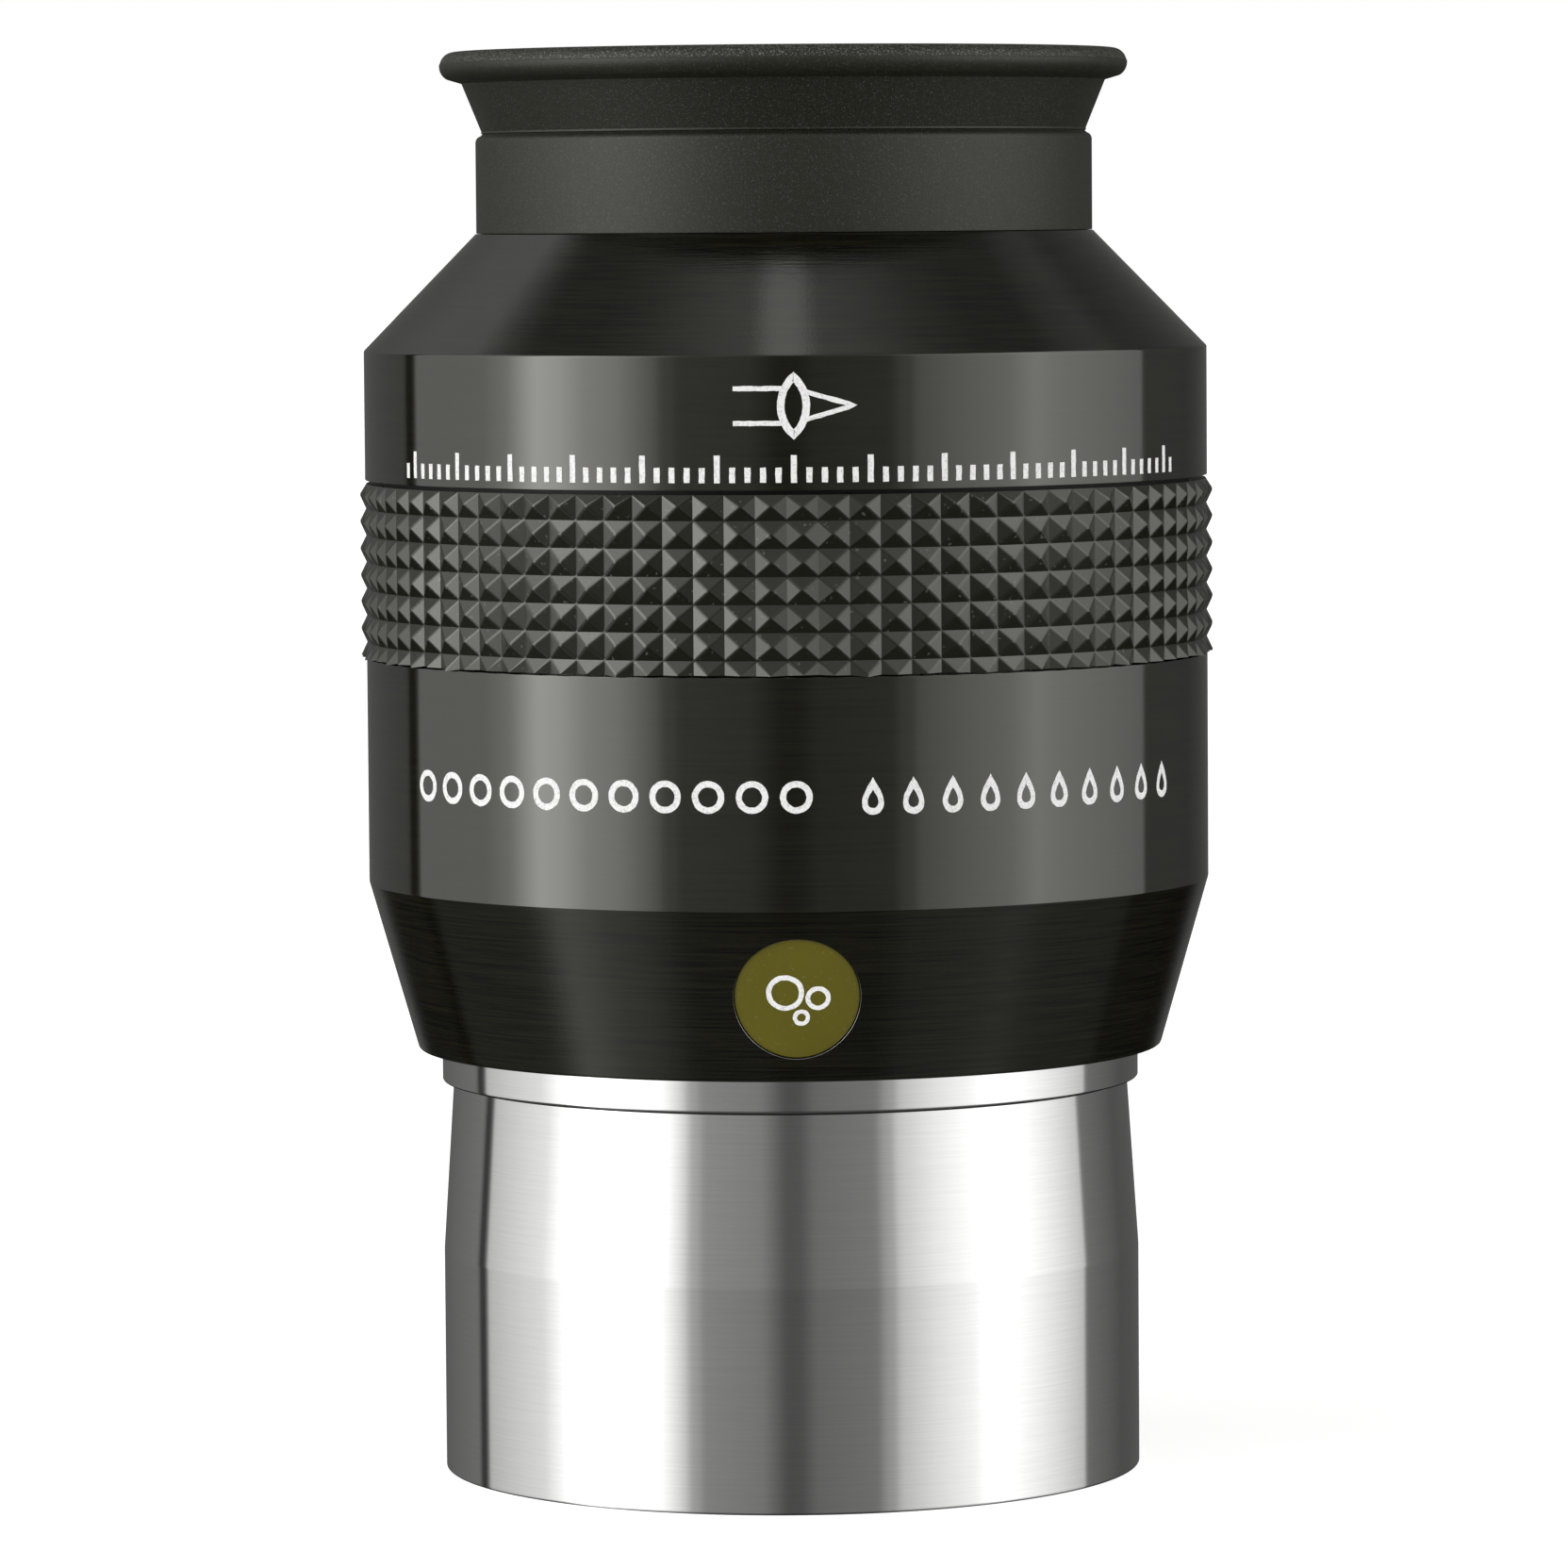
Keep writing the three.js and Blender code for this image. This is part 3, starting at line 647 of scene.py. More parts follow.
def build_lower_body():
    bore = SPIGOT_R + FIT_GAP
    outline = [
        (bore, SEAT_Z + FIT_GAP),
        (BARREL_R + FIT_GAP, SEAT_Z + FIT_GAP),
        (BARREL_R + FIT_GAP, SEAT_Z, 0.05),
        (SEAT_R, SEAT_Z, 0.22),
        (BODY_R, CONE_TOP, 0.25),
        (BODY_R, GRIP_BOTTOM - GAP_BELOW, 0.07),
        (JOINT_R, GRIP_BOTTOM - GAP_BELOW),
        (JOINT_R, JOINT_TOP, 0.2),
        (JOINT_BORE_R, JOINT_TOP, 0.1),
        (JOINT_BORE_R, JOINT_BORE_BOTTOM),
        (LOWER_BORE_R, LOWER_BORE_TOP),
        (LOWER_BORE_R, SPIGOT_TOP + 3 * FIT_GAP),
        (bore, SPIGOT_TOP + 2 * FIT_GAP),
    ]

    def finish(r, z):
        if r < SEAT_R - 1.2 and z > SEAT_Z + 0.2:
            return INSIDE_OR_PAINTED_SHADE
        on_cone = SEAT_Z < z < CONE_TOP - 0.05 and r > cone_radius(z) - 0.2
        return ON_CONE if on_cone else ON_CYLINDER

    body = turned("lower_body", outline, BODY_FINISHES, finish=finish)
    cut(body, badge_cutter(1.0, 3.0))
    place(body, "housing", "black_anodised", "lower_housing")


def build_upper_body():
    skirt_bottom = GRIP_BOTTOM + GAP_BELOW
    outline = [
        (JOINT_R + FIT_GAP, skirt_bottom),
        (GRIP_SEAT_R, skirt_bottom),
        (GRIP_SEAT_R, GRIP_TOP + GAP_ABOVE),
        (BODY_R, GRIP_TOP + GAP_ABOVE, 0.05),
        (BODY_R, SHOULDER_Z, 0.22),
        (CUP_R + 0.05, NECK_BOTTOM, 0.1),
        (NECK_R, NECK_BOTTOM, 0.1),
        (NECK_R, NECK_TOP, 0.25),
        *eye_bore_ridges(),
        (EYE_BORE_R[0], CAVITY_TOP),
        (CAVITY_R, CAVITY_TOP),
        (CAVITY_R, CAVITY_BOTTOM),
        (JOINT_BORE_R, CAVITY_BOTTOM),
        (JOINT_BORE_R, JOINT_TOP + FIT_GAP),
        (JOINT_R + FIT_GAP, JOINT_TOP + FIT_GAP),
    ]

    def finish(r, z):
        # The grip seat's wall in the gap above the grip takes the matt black finish as painted shade:
        # the deep dark line there.
        gap_painted_shade = GRIP_SEAT_R - 0.01 < r < BODY_R - 0.01 and z < GRIP_TOP + GAP_ABOVE + 0.01
        in_eye_bore = r < NECK_R and z > CAVITY_TOP - 0.1
        if gap_painted_shade or in_eye_bore:
            return INSIDE_OR_PAINTED_SHADE
        return ON_CONE if z > SHOULDER_Z - 0.03 else ON_CYLINDER

    body = turned("upper_body", outline, BODY_FINISHES, finish=finish)
    place(body, "housing", "black_anodised", "upper_housing")


def eye_bore_ridges():
    """Light-stopping ridges down the bore above the eye lens, from its top to its bottom."""
    narrow, wide = EYE_BORE_R
    ridged_height = NECK_TOP - CAVITY_TOP - 0.6
    points = [(wide, NECK_TOP, 0.1)]
    for i in range(EYE_BORE_RIDGES):
        for share, depth in ((0.25, 0.0), (0.55, EYE_BORE_RIDGE)):
            z = NECK_TOP - ridged_height * (i + share) / EYE_BORE_RIDGES
            r = narrow + (wide - narrow) * (z - CAVITY_TOP) / (NECK_TOP - CAVITY_TOP)
            points.append((r + depth, z))
    return points


# ---- Badge ----
def badge_frame():
    """Turns a disc lying about +Z into one lying on the lower cone at the badge's place."""
    tilt = Matrix.Rotation(math.pi / 2 + CONE_LEAN, 4, "X")
    out = Matrix.Translation((0, -cone_radius(BADGE_Z) * MM, BADGE_Z * MM))
    return Matrix.Rotation(math.radians(BADGE_AZIMUTH), 4, "Z") @ out @ tilt


def badge_cutter(depth, height):
    """A cylinder of the badge's size, square to the cone, from below its surface to above it."""
    outline = [(0, -depth), (BADGE_R, -depth), (BADGE_R, height), (0, height)]
    cylinder = turned("cutter", outline, [STEEL], 96)
    cylinder.data.transform(badge_frame())
    return cylinder


def on_cone(u, v, offset):
    """The point u mm to the right of the badge's middle and v mm above it, offset from the cone."""
    foot_z = BADGE_Z + v * math.cos(CONE_LEAN)
    r = cone_radius(foot_z) + offset * math.cos(CONE_LEAN)
    angle = math.radians(BADGE_AZIMUTH) + u / cone_radius(BADGE_Z)
    return r * math.sin(angle), -r * math.cos(angle), foot_z - offset * math.sin(CONE_LEAN)


def on_body(azimuth, middle_z):
    """A function that wraps print round the body, about a middle azimuth and height."""

    def mapped(u, v, offset):
        angle = math.radians(azimuth) + u / BODY_R
        r = BODY_R + offset
        return r * math.sin(angle), -r * math.cos(angle), middle_z + v

    return mapped


def lathe_on_cone(name, section, material, steps=96):
    """A small ring or disc that lies on the cone. The section is (radius, offset) corners."""
    points = rounded(section, 4)
    vertices = [
        on_cone(r * math.sin(a), r * math.cos(a), offset)
        for r, offset in points
        for a in np.linspace(0, 2 * math.pi, steps, endpoint=False)
    ]
    faces = []
    for i in range(len(points)):
        k = (i + 1) % len(points)
        for j in range(steps):
            m = (j + 1) % steps
            faces.append((i * steps + j, i * steps + m, k * steps + m, k * steps + j))
    made = mesh_object(name, vertices, faces, [material])
    clean(made, SHARP, merge=True, outward=True)
    return made


def build_badge():
    """An enamelled disc sunk in the cone, inside a thin bright rim."""
    face = -BADGE_SUNK
    back = face - BADGE_THICK
    disc_r, rim_r = BADGE_R - 0.09, BADGE_R - 0.01
    disc = [
        (0, back),
        (disc_r, back),
        (disc_r, face - 0.05, 0.05),
        (disc_r - 0.15, face),
        *[(r, face) for r in (3.2, 2.2, 1.2, 0)],
    ]
    place(lathe_on_cone("badge_disc", disc, ENAMEL), "housing", "olive_label", "badge")
    rim = [
        (disc_r + 0.05, back),
        (rim_r, back),
        (rim_r, -0.01, 0.01),
        (disc_r + 0.05, -0.03, 0.01),
    ]
    place(lathe_on_cone("badge_rim", rim, STEEL), "housing", "steel")


# ---- Printed marks ----
INK_BOTTOM, INK_TOP = 0.001, 0.02  # offsets from the surface
RAGGED = 0.018  # how far an edge of the print strays
PRINT_AZIMUTH = 1.0
SIGN_Z = 78.05
SCALE_Z = 73.7
ROW_Z = 51.0


def unit(vectors):
    return vectors / np.linalg.norm(vectors, axis=1)[:, None]


def stroke(points, width, closed=False):
    """The left and right edges of a line of even width through points, as pairs."""
    p = np.array(points, float)
    ahead = np.roll(p, -1, 0) - p
    behind = p - np.roll(p, 1, 0)
    if not closed:
        ahead[-1], behind[0] = behind[-1], ahead[0]
    direction = unit(unit(ahead) + unit(behind))
    normal = np.stack([-direction[:, 1], direction[:, 0]], 1)
    stretch = 1 / np.maximum(0.8, np.sum(direction * unit(ahead), 1))
    side = normal * (width / 2 * stretch)[:, None]
    return p + side, p - side, closed


def printed(name, strokes, mapped):
    """Thin ink strokes with slightly ragged edges, wrapped on a surface, each a solid strip."""
    draw = random.Random(name)

    def strayed(point):
        return point + [draw.uniform(-RAGGED, RAGGED), draw.uniform(-RAGGED, RAGGED)]

    vertices, faces = [], []
    for left, right, closed in strokes:
        base, count = len(vertices), len(left)
        for a, b in zip(left, right):
            a, b = strayed(a), strayed(b)
            vertices += [mapped(*a, INK_BOTTOM), mapped(*b, INK_BOTTOM)]
            vertices += [mapped(*b, INK_TOP), mapped(*a, INK_TOP)]
        for i in range(count if closed else count - 1):
            here, there = base + 4 * i, base + 4 * ((i + 1) % count)
            for k, m in ((0, 1), (1, 2), (2, 3), (3, 0)):
                faces.append((here + k, here + m, there + m, there + k))
        if not closed:
            end = base + 4 * (count - 1)
            faces += [(base + 3, base + 2, base + 1, base), (end, end + 1, end + 2, end + 3)]
    made = mesh_object(name, vertices, faces, [INK], sharp_degrees=40)
    clean(made, 40, outward=True)
    return made


def ring_stroke(centre, radius, width):
    return stroke(arc(centre, radius, 0, 360, 29)[:-1], width, True)


def segment(start, end, width, steps=8):
    a, b = np.array(start, float), np.array(end, float)
    return stroke([a + (b - a) * t for t in np.linspace(0, 1, steps)], width)


def drop(centre, height, width, steps=27):
    """The outline of a water drop, round below and drawn to a point at the top, as a closed strip."""
    t = 2 * math.pi * (np.arange(steps) + 0.5) / steps
    half_width = 0.40 * height * np.sin(t / 2) ** 1.2
    shape = np.stack([half_width * np.sin(t), 0.5 * height * np.cos(t)], 1)
    bulb = np.array((0, -0.14 * height))
    hollow = bulb + (shape - bulb) * (1 - width / (0.34 * height))
    return shape + centre, hollow + centre, True


def tilted(shapes, degrees):
    """Strokes turned in their own plane."""
    c, s = math.cos(math.radians(degrees)), math.sin(math.radians(degrees))
    spin = np.array([[c, s], [-s, c]])
    return [(left @ spin, right @ spin, closed) for left, right, closed in shapes]


def lens_sign():
    """A lens that brings two parallel rays to a focus."""
    half_height, curve, focus = 2.0, 2.7, 4.2
    ray_height, beside_lens = 1.2, 0.7
    bold, fine = 0.52, 0.34
    half_angle = math.degrees(math.asin(half_height / curve))
    depth = curve * math.cos(math.radians(half_angle))
    outline = arc((-depth, 0), curve, -half_angle, half_angle)
    outline += arc((depth, 0), curve, 180 - half_angle, 180 + half_angle)[1:-1]
    sign = [stroke(outline, bold, True)]
    for y in (-ray_height, ray_height):
        sign.append(segment((-focus, y), (-beside_lens, y), fine, 10))
    leaving = [(x, ray_height * (1 - x / focus)) for x in np.linspace(beside_lens, focus, 10)]
    sign.append(stroke(leaving + [(x, -y) for x, y in leaving[-2::-1]], fine))
    return sign


def scale_ticks():
    """A tick every two degrees, and a taller one every ten."""
    ticks = []
    for index in range(-31, 32):
        tall = 1.9 if index % 5 == 0 else 1.05
        u = math.radians(2.0 * index) * BODY_R
        ticks.append(segment((u, -0.95), (u, -0.95 + tall), 0.42, 4))
    return ticks


def bubbles_and_drops():
    """Eleven rings to the left, and ten drops to the right."""
    row = []
    for index in range(11):
        u = math.radians(-56.5 + 5.75 * index) * BODY_R
        row.append(ring_stroke((u, 0), 0.92, 0.44))
    for index in range(10):
        u = math.radians(11.0 + 5.45 * index) * BODY_R
        row.append(drop((u, 0), 2.6, 0.44))
    return row


def badge_bubbles():
    bubbles = [
        ring_stroke((-0.95, 0.15), 1.15, 0.36),
        ring_stroke((1.35, 0.55), 0.72, 0.34),
        ring_stroke((0.75, -1.2), 0.46, 0.30),
    ]
    return tilted(bubbles, -20)


def build_marks():
    """Generic marks where the object carries print."""

    def on_badge(u, v, offset):
        return on_cone(u, v, offset - BADGE_SUNK)

    marks = (
        ("lens_sign", lens_sign(), on_body(PRINT_AZIMUTH, SIGN_Z)),
        ("scale_marks", scale_ticks(), on_body(PRINT_AZIMUTH, SCALE_Z)),
        ("bubble_and_drop_row", bubbles_and_drops(), on_body(0.0, ROW_Z)),
        ("badge_bubbles", badge_bubbles(), on_badge),
    )
    for name, strokes, mapped in marks:
        place(printed(name, strokes, mapped), "housing")


# ---- Rubber grip ----
def grip_foot(tooth):
    """Height of the grip's trimmed lower edge, which wanders a little round it."""
    a = 2 * math.pi * tooth / TEETH
    return GRIP_BOTTOM + 0.045 + 0.025 * math.sin(23 * a) + 0.018 * math.sin(37 * a)


def build_grip():
    """Rows of four-sided pyramids with softened ridges, round a sleeve whose top slopes inwards."""
    draw = random.Random(5)
    inner = GRIP_SEAT_R + 0.1
    inner_top = GRIP_TOP - 0.3
    bm = bmesh.new()
    made = {}

    def at(r, tooth, z):
        """The vertex there, made when first asked for. The angle is counted in teeth."""
        key = (round(r, 5), round(tooth % TEETH, 5), round(z, 5))
        if key not in made:
            a = 2 * math.pi * tooth / TEETH
            made[key] = bm.verts.new((r * math.sin(a) * MM, -r * math.cos(a) * MM, z * MM))
        return made[key]

    def valley(tooth, z):
        return at(TOOTH_VALLEY_R, tooth, z)

    for tooth in range(TEETH):
        left, middle, right = tooth, tooth + 0.5, tooth + 1
        for row in range(TOOTH_ROWS + 1):
            high = GRIP_TOP + TOP_TRIM - row * TOOTH_PITCH
            low = high - TOOTH_PITCH
            sway = 0.035 * draw.uniform(-1, 1)
            blunt = 0.05 + 0.03 * draw.random()
            whole = row < TOOTH_ROWS
            point_z = high - TOOTH_PITCH * (0.5 + 0.5 * sway) if whole else grip_foot(middle)
            point = at(GRIP_POINT_R - blunt, middle + sway, point_z)
            top = min(high, GRIP_TOP)
            upper_left, upper_right = valley(left, top), valley(right, top)
            bm.faces.new((upper_left, point, upper_right))
            if whole:
                lower_left, lower_right = valley(left, low), valley(right, low)
                bm.faces.new((upper_left, lower_left, point))
                bm.faces.new((lower_left, lower_right, point))
                bm.faces.new((lower_right, upper_right, point))
                continue
            lower_left = valley(left, grip_foot(left))
            lower_right = valley(right, grip_foot(right))
            bm.faces.new((upper_left, lower_left, point))
            bm.faces.new((point, lower_right, upper_right))
            inner_left, inner_right = at(inner, left, GRIP_BOTTOM), at(inner, right, GRIP_BOTTOM)
            bm.faces.new((inner_left, point, lower_left))
            bm.faces.new((inner_left, inner_right, lower_right, point))
        top_left, top_right = at(inner, left, inner_top), at(inner, right, inner_top)
        bm.faces.new((top_left, valley(left, GRIP_TOP), valley(right, GRIP_TOP), top_right))
        bm.faces.new((inner_left, top_left, top_right, inner_right))
    bmesh.ops.recalc_face_normals(bm, faces=bm.faces)
    soften_ridges(bm)
    bmesh.ops.triangulate(bm, faces=[f for f in bm.faces if len(f.verts) > 4])
    mesh = bpy.data.meshes.new("grip_sleeve")
    bm.to_mesh(mesh)
    bm.free()
    mesh.materials.append(GRIP_RUBBER)
    grip = bpy.data.objects.new("grip_sleeve", mesh)
    bpy.context.scene.collection.objects.link(grip)
    place(grip, "housing", "rubber", "rubber_grip")


def soften_ridges(bm):
    """Bevels the grip's outside ridges, but not its upper and lower edges."""
    outside_r = (TOOTH_VALLEY_R - 0.1) * MM
    lower_edge = (GRIP_BOTTOM + 0.2) * MM
    upper_edge = (GRIP_TOP - 0.01) * MM
    ridges = []
    for edge in bm.edges:
        outside = all(math.hypot(v.co.x, v.co.y) > outside_r for v in edge.verts)
        at_bottom = all(v.co.z < lower_edge for v in edge.verts)
        at_top = all(v.co.z > upper_edge for v in edge.verts)
        folded = edge.is_convex and edge.calc_face_angle() > math.radians(8)
        if outside and folded and not at_bottom and not at_top:
            ridges.append(edge)
    bmesh.ops.bevel(bm, geom=ridges, offset=0.1 * MM, segments=2, profile=0.5, affect="EDGES")


# ---- Rubber eyecup ----
FOLD_START = 99.4  # the skirt's wall thickens from here up to FOLD_END
FOLD_END = 100.75
BEAD = 1.03  # radius of the lip's round edge
LEDGE = 0.04  # the step round it, where the mould's two halves met
LEDGE_AT = 11.0  # degrees above the middle of the round edge
SHOULDER_ROUND = 0.5  # at the top of the band
SKIRT_WALL = (0.40, 0.56)  # at the start and the end of the fold
CUP_MOUTH_R = 22.75


def skirt_radius(z):
    share = (z - HINGE_Z) / (SKIRT_HEAD_Z - HINGE_Z)
    return SKIRT_FOOT_R + (SKIRT_HEAD_R - SKIRT_FOOT_R) * share


def skirt_inside(z):
    thin, thick = SKIRT_WALL
    wall = thin + (thick - thin) * (z - FOLD_START) / (FOLD_END - FOLD_START)
    return skirt_radius(z) - wall


def build_eyecup():
    """One moulding: a plain band, a notch, a flared skirt and a round lip."""
    fold_zone = np.linspace(FOLD_START, FOLD_END, 24)
    bead_r, bead_z = LIP_R - BEAD - LEDGE, CUP_TOP - BEAD - 0.02
    lip = []
    for degrees in np.arange(-61.0, 92.0, 3.0):
        a, r = math.radians(degrees), BEAD + (LEDGE if degrees < LEDGE_AT else 0.0)
        lip.append((bead_r + r * math.cos(a), bead_z + r * math.sin(a)))
    shoulder = arc((CUP_R - SHOULDER_ROUND, HINGE_Z - 0.62), SHOULDER_ROUND, 0, 75, 6)
    collar_r = SKIRT_FOOT_R + 0.09
    outline = [
        (NECK_R + 0.1, NECK_BOTTOM + 0.03, 0.05),
        (CUP_R, NECK_BOTTOM + 0.03, 0.06),
        *shoulder,
        (SKIRT_FOOT_R, HINGE_Z),
        (collar_r, HINGE_Z + 0.05),
        (collar_r, HINGE_Z + 0.14),
        (skirt_radius(HINGE_Z + 0.18), HINGE_Z + 0.18),
        (skirt_radius(98.0), 98.0),
        *[(skirt_radius(z), z) for z in fold_zone],
        *lip,
        (CUP_MOUTH_R + 0.2, CUP_TOP - 0.03, 0.1),
        (CUP_MOUTH_R, CUP_TOP - 0.3, 0.15),
        (CUP_MOUTH_R, LIP_BOTTOM + 0.3, 0.2),
        *[(skirt_inside(z), z) for z in fold_zone[::-1]],
        (NECK_R + 0.55, HINGE_Z, 0.4),
        (NECK_R + 0.1, HINGE_Z - 0.4, 0.1),
    ]
    ledge_z = bead_z + BEAD * math.sin(math.radians(LEDGE_AT))

    def finish(r, z):
        return int(z > ledge_z)

    materials = [CUP_RUBBER, CUP_TOP_RUBBER]
    cup = turned("eyecup_moulding", outline, materials, finish=finish, sharp_degrees=38)
    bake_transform(cup)
    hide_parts("eyecup_band", "eyecup_skirt", "eyecup_lip")


# ---- Lenses and the parts that hold them ----
DOUBLET_CURVE = 69.4
SINGLE_CURVE = 143.4
LENS_CHAMFER = 0.15

CELL_R = 22.6
CELL_FIELD_BORE_R = 20.3
CELL_EYE_BORE_R = 18.3
CELL_LEDGE_Z = 67.9
CELL_FLANGE = (66.9, 68.4)  # bottom and top
CELL_LOWER_GROOVE = (50.4, 51.6, 0.8)  # bottom, top and depth
CELL_UPPER_GROOVE = (20.0, 21.4, 0.9)  # inner radius, outer radius and depth


def sag(curve, r):
    """How far a face of this curve leaves its vertex's plane at radius r. A flat face's curve is 0."""
    return math.copysign(abs(curve) - math.sqrt(curve * curve - r * r), curve) if curve else 0.0


def build_lens(name, node_name, lower_curve, upper_curve, glass):
    """A lens between two spherical faces. A positive curve rises towards the rim."""
    rim, low, high = span(node_name)
    lower_vertex = low - min(0.0, sag(lower_curve, rim))
    upper_vertex = high - max(0.0, sag(upper_curve, rim))
    radii = np.linspace(0, rim - LENS_CHAMFER, 28)
    lower = [(r, lower_vertex + sag(lower_curve, r)) for r in radii]
    upper = [(r, upper_vertex + sag(upper_curve, r)) for r in radii]
    edge = [(rim, lower[-1][1] + LENS_CHAMFER), (rim, upper[-1][1] - LENS_CHAMFER)]
    outline = [*lower, *edge, *upper[::-1]]
    lens = turned(name, outline, [glass], FINE_SEGMENTS, sharp_degrees=30)
    place(lens, "housing", "glass", node_name)


def build_ring(name, node_name, inner, slots_on=None):
    """A plain blackened ring at a CAD node's place, with spanner slots on its top or bottom if asked."""
    outer, low, high = span(node_name)
    outline = [(inner, low, 0.12), (outer, low, 0.12), (outer, high, 0.12), (inner, high, 0.12)]
    ring = turned(name, outline, [BLACKENED], FINE_SEGMENTS)
    if slots_on:
        face = high if slots_on == "top" else low
        cut(ring, block((-outer - 1, -1.0, face - 0.8), (outer + 1, 1.0, face + 0.8), BLACKENED))
    place(ring, "housing", "blackened_metal", node_name)


def build_cell():
    """The tube that holds the lenses: its flange, one seal groove outside and one in its top face."""
    groove_bottom, groove_top, groove_depth = CELL_LOWER_GROOVE
    groove_inner, groove_outer, face_depth = CELL_UPPER_GROOVE
    flange_bottom, flange_top = CELL_FLANGE
    outline = [
        (CELL_FIELD_BORE_R, CELL_BOTTOM, 0.2),
        (CELL_R, CELL_BOTTOM, 0.2),
        (CELL_R, groove_bottom),
        (CELL_R - groove_depth, groove_bottom),
        (CELL_R - groove_depth, groove_top),
        (CELL_R, groove_top),
        (CELL_R, flange_bottom),
        (CELL_FLANGE_R, flange_bottom),
        (CELL_FLANGE_R, flange_top),
        (CELL_R, flange_top),
        (CELL_R, CELL_TOP),
        (groove_outer, CELL_TOP),
        (groove_outer, CELL_TOP - face_depth),
        (groove_inner, CELL_TOP - face_depth),
        (groove_inner, CELL_TOP),
        (CELL_EYE_BORE_R, CELL_TOP, 0.15),
        (CELL_EYE_BORE_R, CELL_LEDGE_Z),
        (CELL_FIELD_BORE_R, CELL_LEDGE_Z),
    ]
    cell = turned("lens_cell_tube", outline, [BLACKENED], FINE_SEGMENTS)
    place(cell, "housing", "blackened_metal", "lens_cell")


def build_optics():
    build_lens("field_flint", "field_flint_lens", 0, DOUBLET_CURVE, FLINT_GLASS)
    build_lens("field_crown", "field_crown_lens", DOUBLET_CURVE, -DOUBLET_CURVE, CROWN_GLASS)
    build_lens("middle_element", "middle_lens", SINGLE_CURVE, -SINGLE_CURVE, CROWN_GLASS)
    build_lens("eye_crown", "eye_crown_lens", DOUBLET_CURVE, -DOUBLET_CURVE, CROWN_GLASS)
    build_lens("eye_flint", "eye_flint_lens", -DOUBLET_CURVE, 0, FLINT_GLASS)
    build_cell()
    build_ring("eye_lock_ring", "eye_lens_ring", 16.2, "top")
    build_ring("field_lock_ring", "field_lens_ring", 18.2, "bottom")
    build_ring("upper_spacer_tube", "upper_spacer", 16.4)
    build_ring("lower_spacer_tube", "lower_spacer", 18.6)
    build_seal("eye_lens_cord", "eye_lens_seal")
    build_seal("field_lens_cord", "field_lens_seal")


def dress_hidden_parts():
    """The CAD parts that stay, inside the housing and under the grip."""
    finishes = {
        "housing_seal": SEAL_RUBBER,
        "cell_lower_seal": SEAL_RUBBER,
        "cell_upper_seal": SEAL_RUBBER,
        "port_washer": SEAL_RUBBER,
        "port_screw": STEEL,
        "cell_lock_ring": BLACKENED,
    }
    for name, material in finishes.items():
        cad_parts[name].data.materials.clear()
        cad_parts[name].data.materials.append(material)


# ---- Studio ----
# Brightness of the surroundings at each azimuth in degrees, level with the object: two tall soft boxes
# left and right of the camera, weaker panels beside them, and a grey room between and behind.
SIDE_LIGHT = (
    (-180, 0.10), (-160, 0.15), (-127, 0.26), (-125.5, 0.05), (-121.3, 0.05), (-119.8, 0.80),
    (-90, 1.30), (-81, 1.95), (-71, 4.5), (-64, 4.1), (-56, 2.9), (-46, 2.3), (-37, 1.25),
    (-35.4, 1.05), (-33.2, 0.60), (-30.6, 0.58), (-29.2, 0.41), (-10, 0.33), (-2, 0.13),
    (3, 0.135), (8, 0.235), (28, 0.30), (31, 0.52), (34, 0.59), (35.6, 0.90), (48, 1.35),
    (62, 1.75), (71, 2.4), (80, 1.95), (112.6, 0.90), (114, 0.25), (140, 0.12),
)
SIDE_LIGHT_PEAK = 4.5
# How much of it there is at each elevation: faint well below the horizon, and none overhead.
SIDE_REACH = (
    (-46, 0.0), (-38, 0.16), (-14, 0.2), (-10.5, 0.88), (-5, 0.95), (4, 1.05), (42, 1.05), (52, 0.0),
)
# How much of its faint lower part there is at each azimuth, and the elevation where that part ends.
LOW_REACH = (
    (-84, 0.5), (-72, 0.95), (-38, 0.92), (-28, 1.08), (30, 0.95), (48, 0.76), (66, 0.7), (84, 0.45),
)
LOW_PART = ((-13, 1.0), (-10.5, 0.0))
# The ceiling and the ground, by elevation.
ROOM = (
    (-90, 0.2), (-60, 0.1), (-38, 0.03), (-14, 0.0), (36, 0.0), (48, 0.12), (62, 0.15), (70, 0.25),
    (81, 0.5), (90, 0.58),
)
STRIP_LEVEL = 0.62
FRONT_PANEL_LEVEL = 0.3
BACK_PANEL_LEVEL = 0.27
FLOOR_GLOW = 0.62


def angle_share(tree, angle, low, high):
    """An angle in radians as a share of a range in degrees."""
    limits = {0: angle, 1: math.radians(low), 2: math.radians(high), 3: 0.0, 4: 1.0}
    return node(tree, "ShaderNodeMapRange", limits).outputs[0]


def window(tree, angle, stops, low=-90, high=90):
    """Brightness by angle, from (degrees, value) stops."""
    share = angle_share(tree, angle, low, high)
    return ramp(tree, share, [((a - low) / (high - low), v) for a, v in stops])


def product(tree, *factors):
    result = factors[0]
    for factor in factors[1:]:
        result = calc(tree, "MULTIPLY", result, factor)
    return result


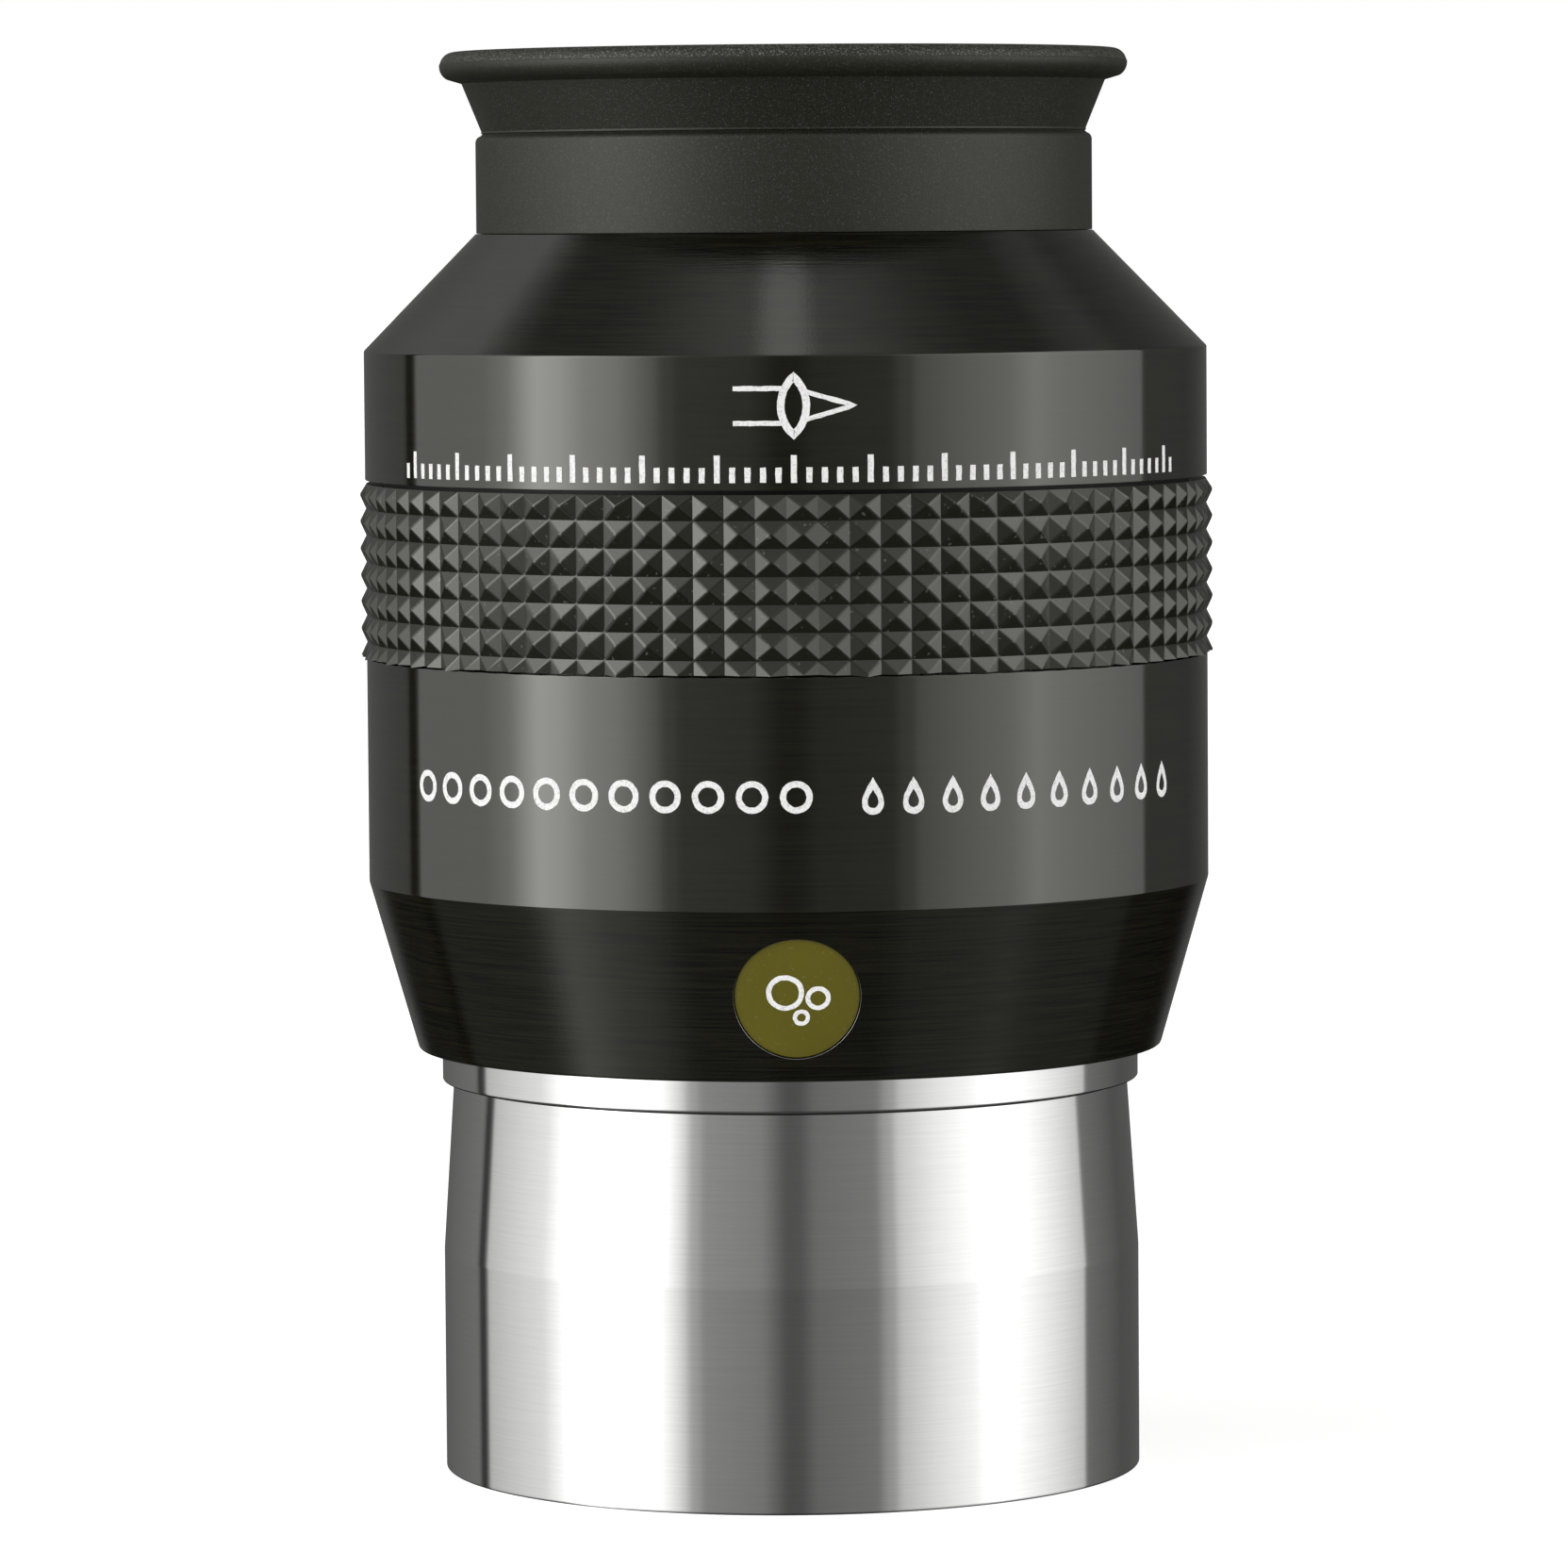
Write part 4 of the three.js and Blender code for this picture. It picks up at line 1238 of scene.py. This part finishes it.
def build_light():
    world = bpy.data.worlds.new("studio")
    bpy.context.scene.world = world
    world.use_nodes = True
    tree = world.node_tree
    tree.nodes.clear()
    direction = node(tree, "ShaderNodeTexCoord").outputs["Generated"]
    x, y, z = node(tree, "ShaderNodeSeparateXYZ", {0: direction}).outputs
    azimuth = calc(tree, "ARCTAN2", x, calc(tree, "MULTIPLY", y, -1.0))
    elevation = calc(tree, "ARCSINE", z)

    stops = [(degrees, level / SIDE_LIGHT_PEAK) for degrees, level in SIDE_LIGHT]
    sides = window(tree, azimuth, stops, -180, 180)
    reach = window(tree, elevation, SIDE_REACH)
    lost = calc(tree, "SUBTRACT", 1.0, window(tree, azimuth, LOW_REACH, -180, 180))
    kept = calc(tree, "SUBTRACT", 1.0, product(tree, window(tree, elevation, LOW_PART), lost))
    side_light = product(tree, sides, reach, SIDE_LIGHT_PEAK, kept)

    room = window(tree, elevation, ROOM)

    # A narrow strip overhead, from front to back.
    sideways = calc(tree, "ARCTAN2", x, calc(tree, "ABSOLUTE", z))
    across = window(tree, sideways, ((-5, 0.0), (-2, 1.0), (2, 1.0), (5, 0.0)))
    along = window(tree, elevation, ((58, 0.0), (66, 1.0)))
    strip = product(tree, across, along, STRIP_LEVEL)

    # A soft panel high at the front.
    across = window(tree, azimuth, ((-70, 0.0), (-50, 1.0), (50, 1.0), (70, 0.0)), -180, 180)
    along = window(tree, elevation, ((26, 0.0), (34, 1.0), (58, 1.0), (68, 0.0)))
    front_panel = product(tree, across, along, FRONT_PANEL_LEVEL)

    # A weak panel high at the left, behind the object.
    across = window(tree, azimuth, ((-165, 0.0), (-140, 1.0), (-128, 0.8), (-122, 0.0)), -180, 180)
    along = window(tree, elevation, ((8, 0.0), (30, 0.8), (42, 1.0), (52, 0.0)))
    back_panel = product(tree, across, along, BACK_PANEL_LEVEL)

    total = side_light
    for light in (room, strip, front_panel, back_panel):
        total = calc(tree, "ADD", total, light)
    lit = node(tree, "ShaderNodeBackground", {0: (1.0, 1.0, 0.99, 1.0), 1: total}).outputs[0]
    plain = node(tree, "ShaderNodeBackground", {0: (1.0, 1.0, 1.0, 1.0), 1: 1.0}).outputs[0]
    seen = node(tree, "ShaderNodeLightPath").outputs["Is Camera Ray"]
    chosen = node(tree, "ShaderNodeMixShader", {0: seen, 1: lit, 2: plain}).outputs[0]
    node(tree, "ShaderNodeOutputWorld", {0: chosen})


def build_floor():
    """A pale floor that isn't seen in reflections and holds back no light."""
    half = 6.0 / MM
    corners = [(-half, -half, 0), (half, -half, 0), (half, half, 0), (-half, half, 0)]
    material, tree, shader = new_material("pale_floor", Roughness=0.9, Emission_Strength=FLOOR_GLOW)
    grain = noise(tree, object_coordinates(tree), 40.0, 2.0)
    colour = mixed(tree, grain, (0.80, 0.80, 0.80), (0.82, 0.82, 0.82))
    tree.links.new(colour, shader.inputs["Base Color"])
    shader.inputs["Emission Color"].default_value = (1.0, 1.0, 1.0, 1.0)
    floor = mesh_object("floor", corners, [(0, 1, 2, 3)], [material], sharp_degrees=0)
    floor.visible_glossy = False
    floor.visible_shadow = False


def build_camera():
    camera = bpy.data.objects.new("camera", bpy.data.cameras.new("camera"))
    bpy.context.scene.collection.objects.link(camera)
    camera.data.sensor_width = 36.0
    camera.data.lens = 183.0
    camera.data.clip_start = 0.01
    camera.data.clip_end = 50.0
    look_down, roll = math.radians(4.17), math.radians(-0.42)
    level = Quaternion((1, 0, 0), math.pi / 2 - look_down)
    camera.location = (-0.00031, -0.5802, 0.092)
    camera.rotation_mode = "QUATERNION"
    camera.rotation_quaternion = level @ Quaternion((0, 0, 1), roll)
    bpy.context.scene.camera = camera
    bpy.context.scene.view_settings.view_transform = "Standard"


build_camera()
build_light()
build_floor()
build_barrel()
build_seal("barrel_seal_cord", "barrel_seal", "barrel_carrier", 20, SEGMENTS)
build_field_stop()
build_lower_body()
build_upper_body()
build_badge()
build_marks()
build_grip()
build_eyecup()
build_optics()
dress_hidden_parts()
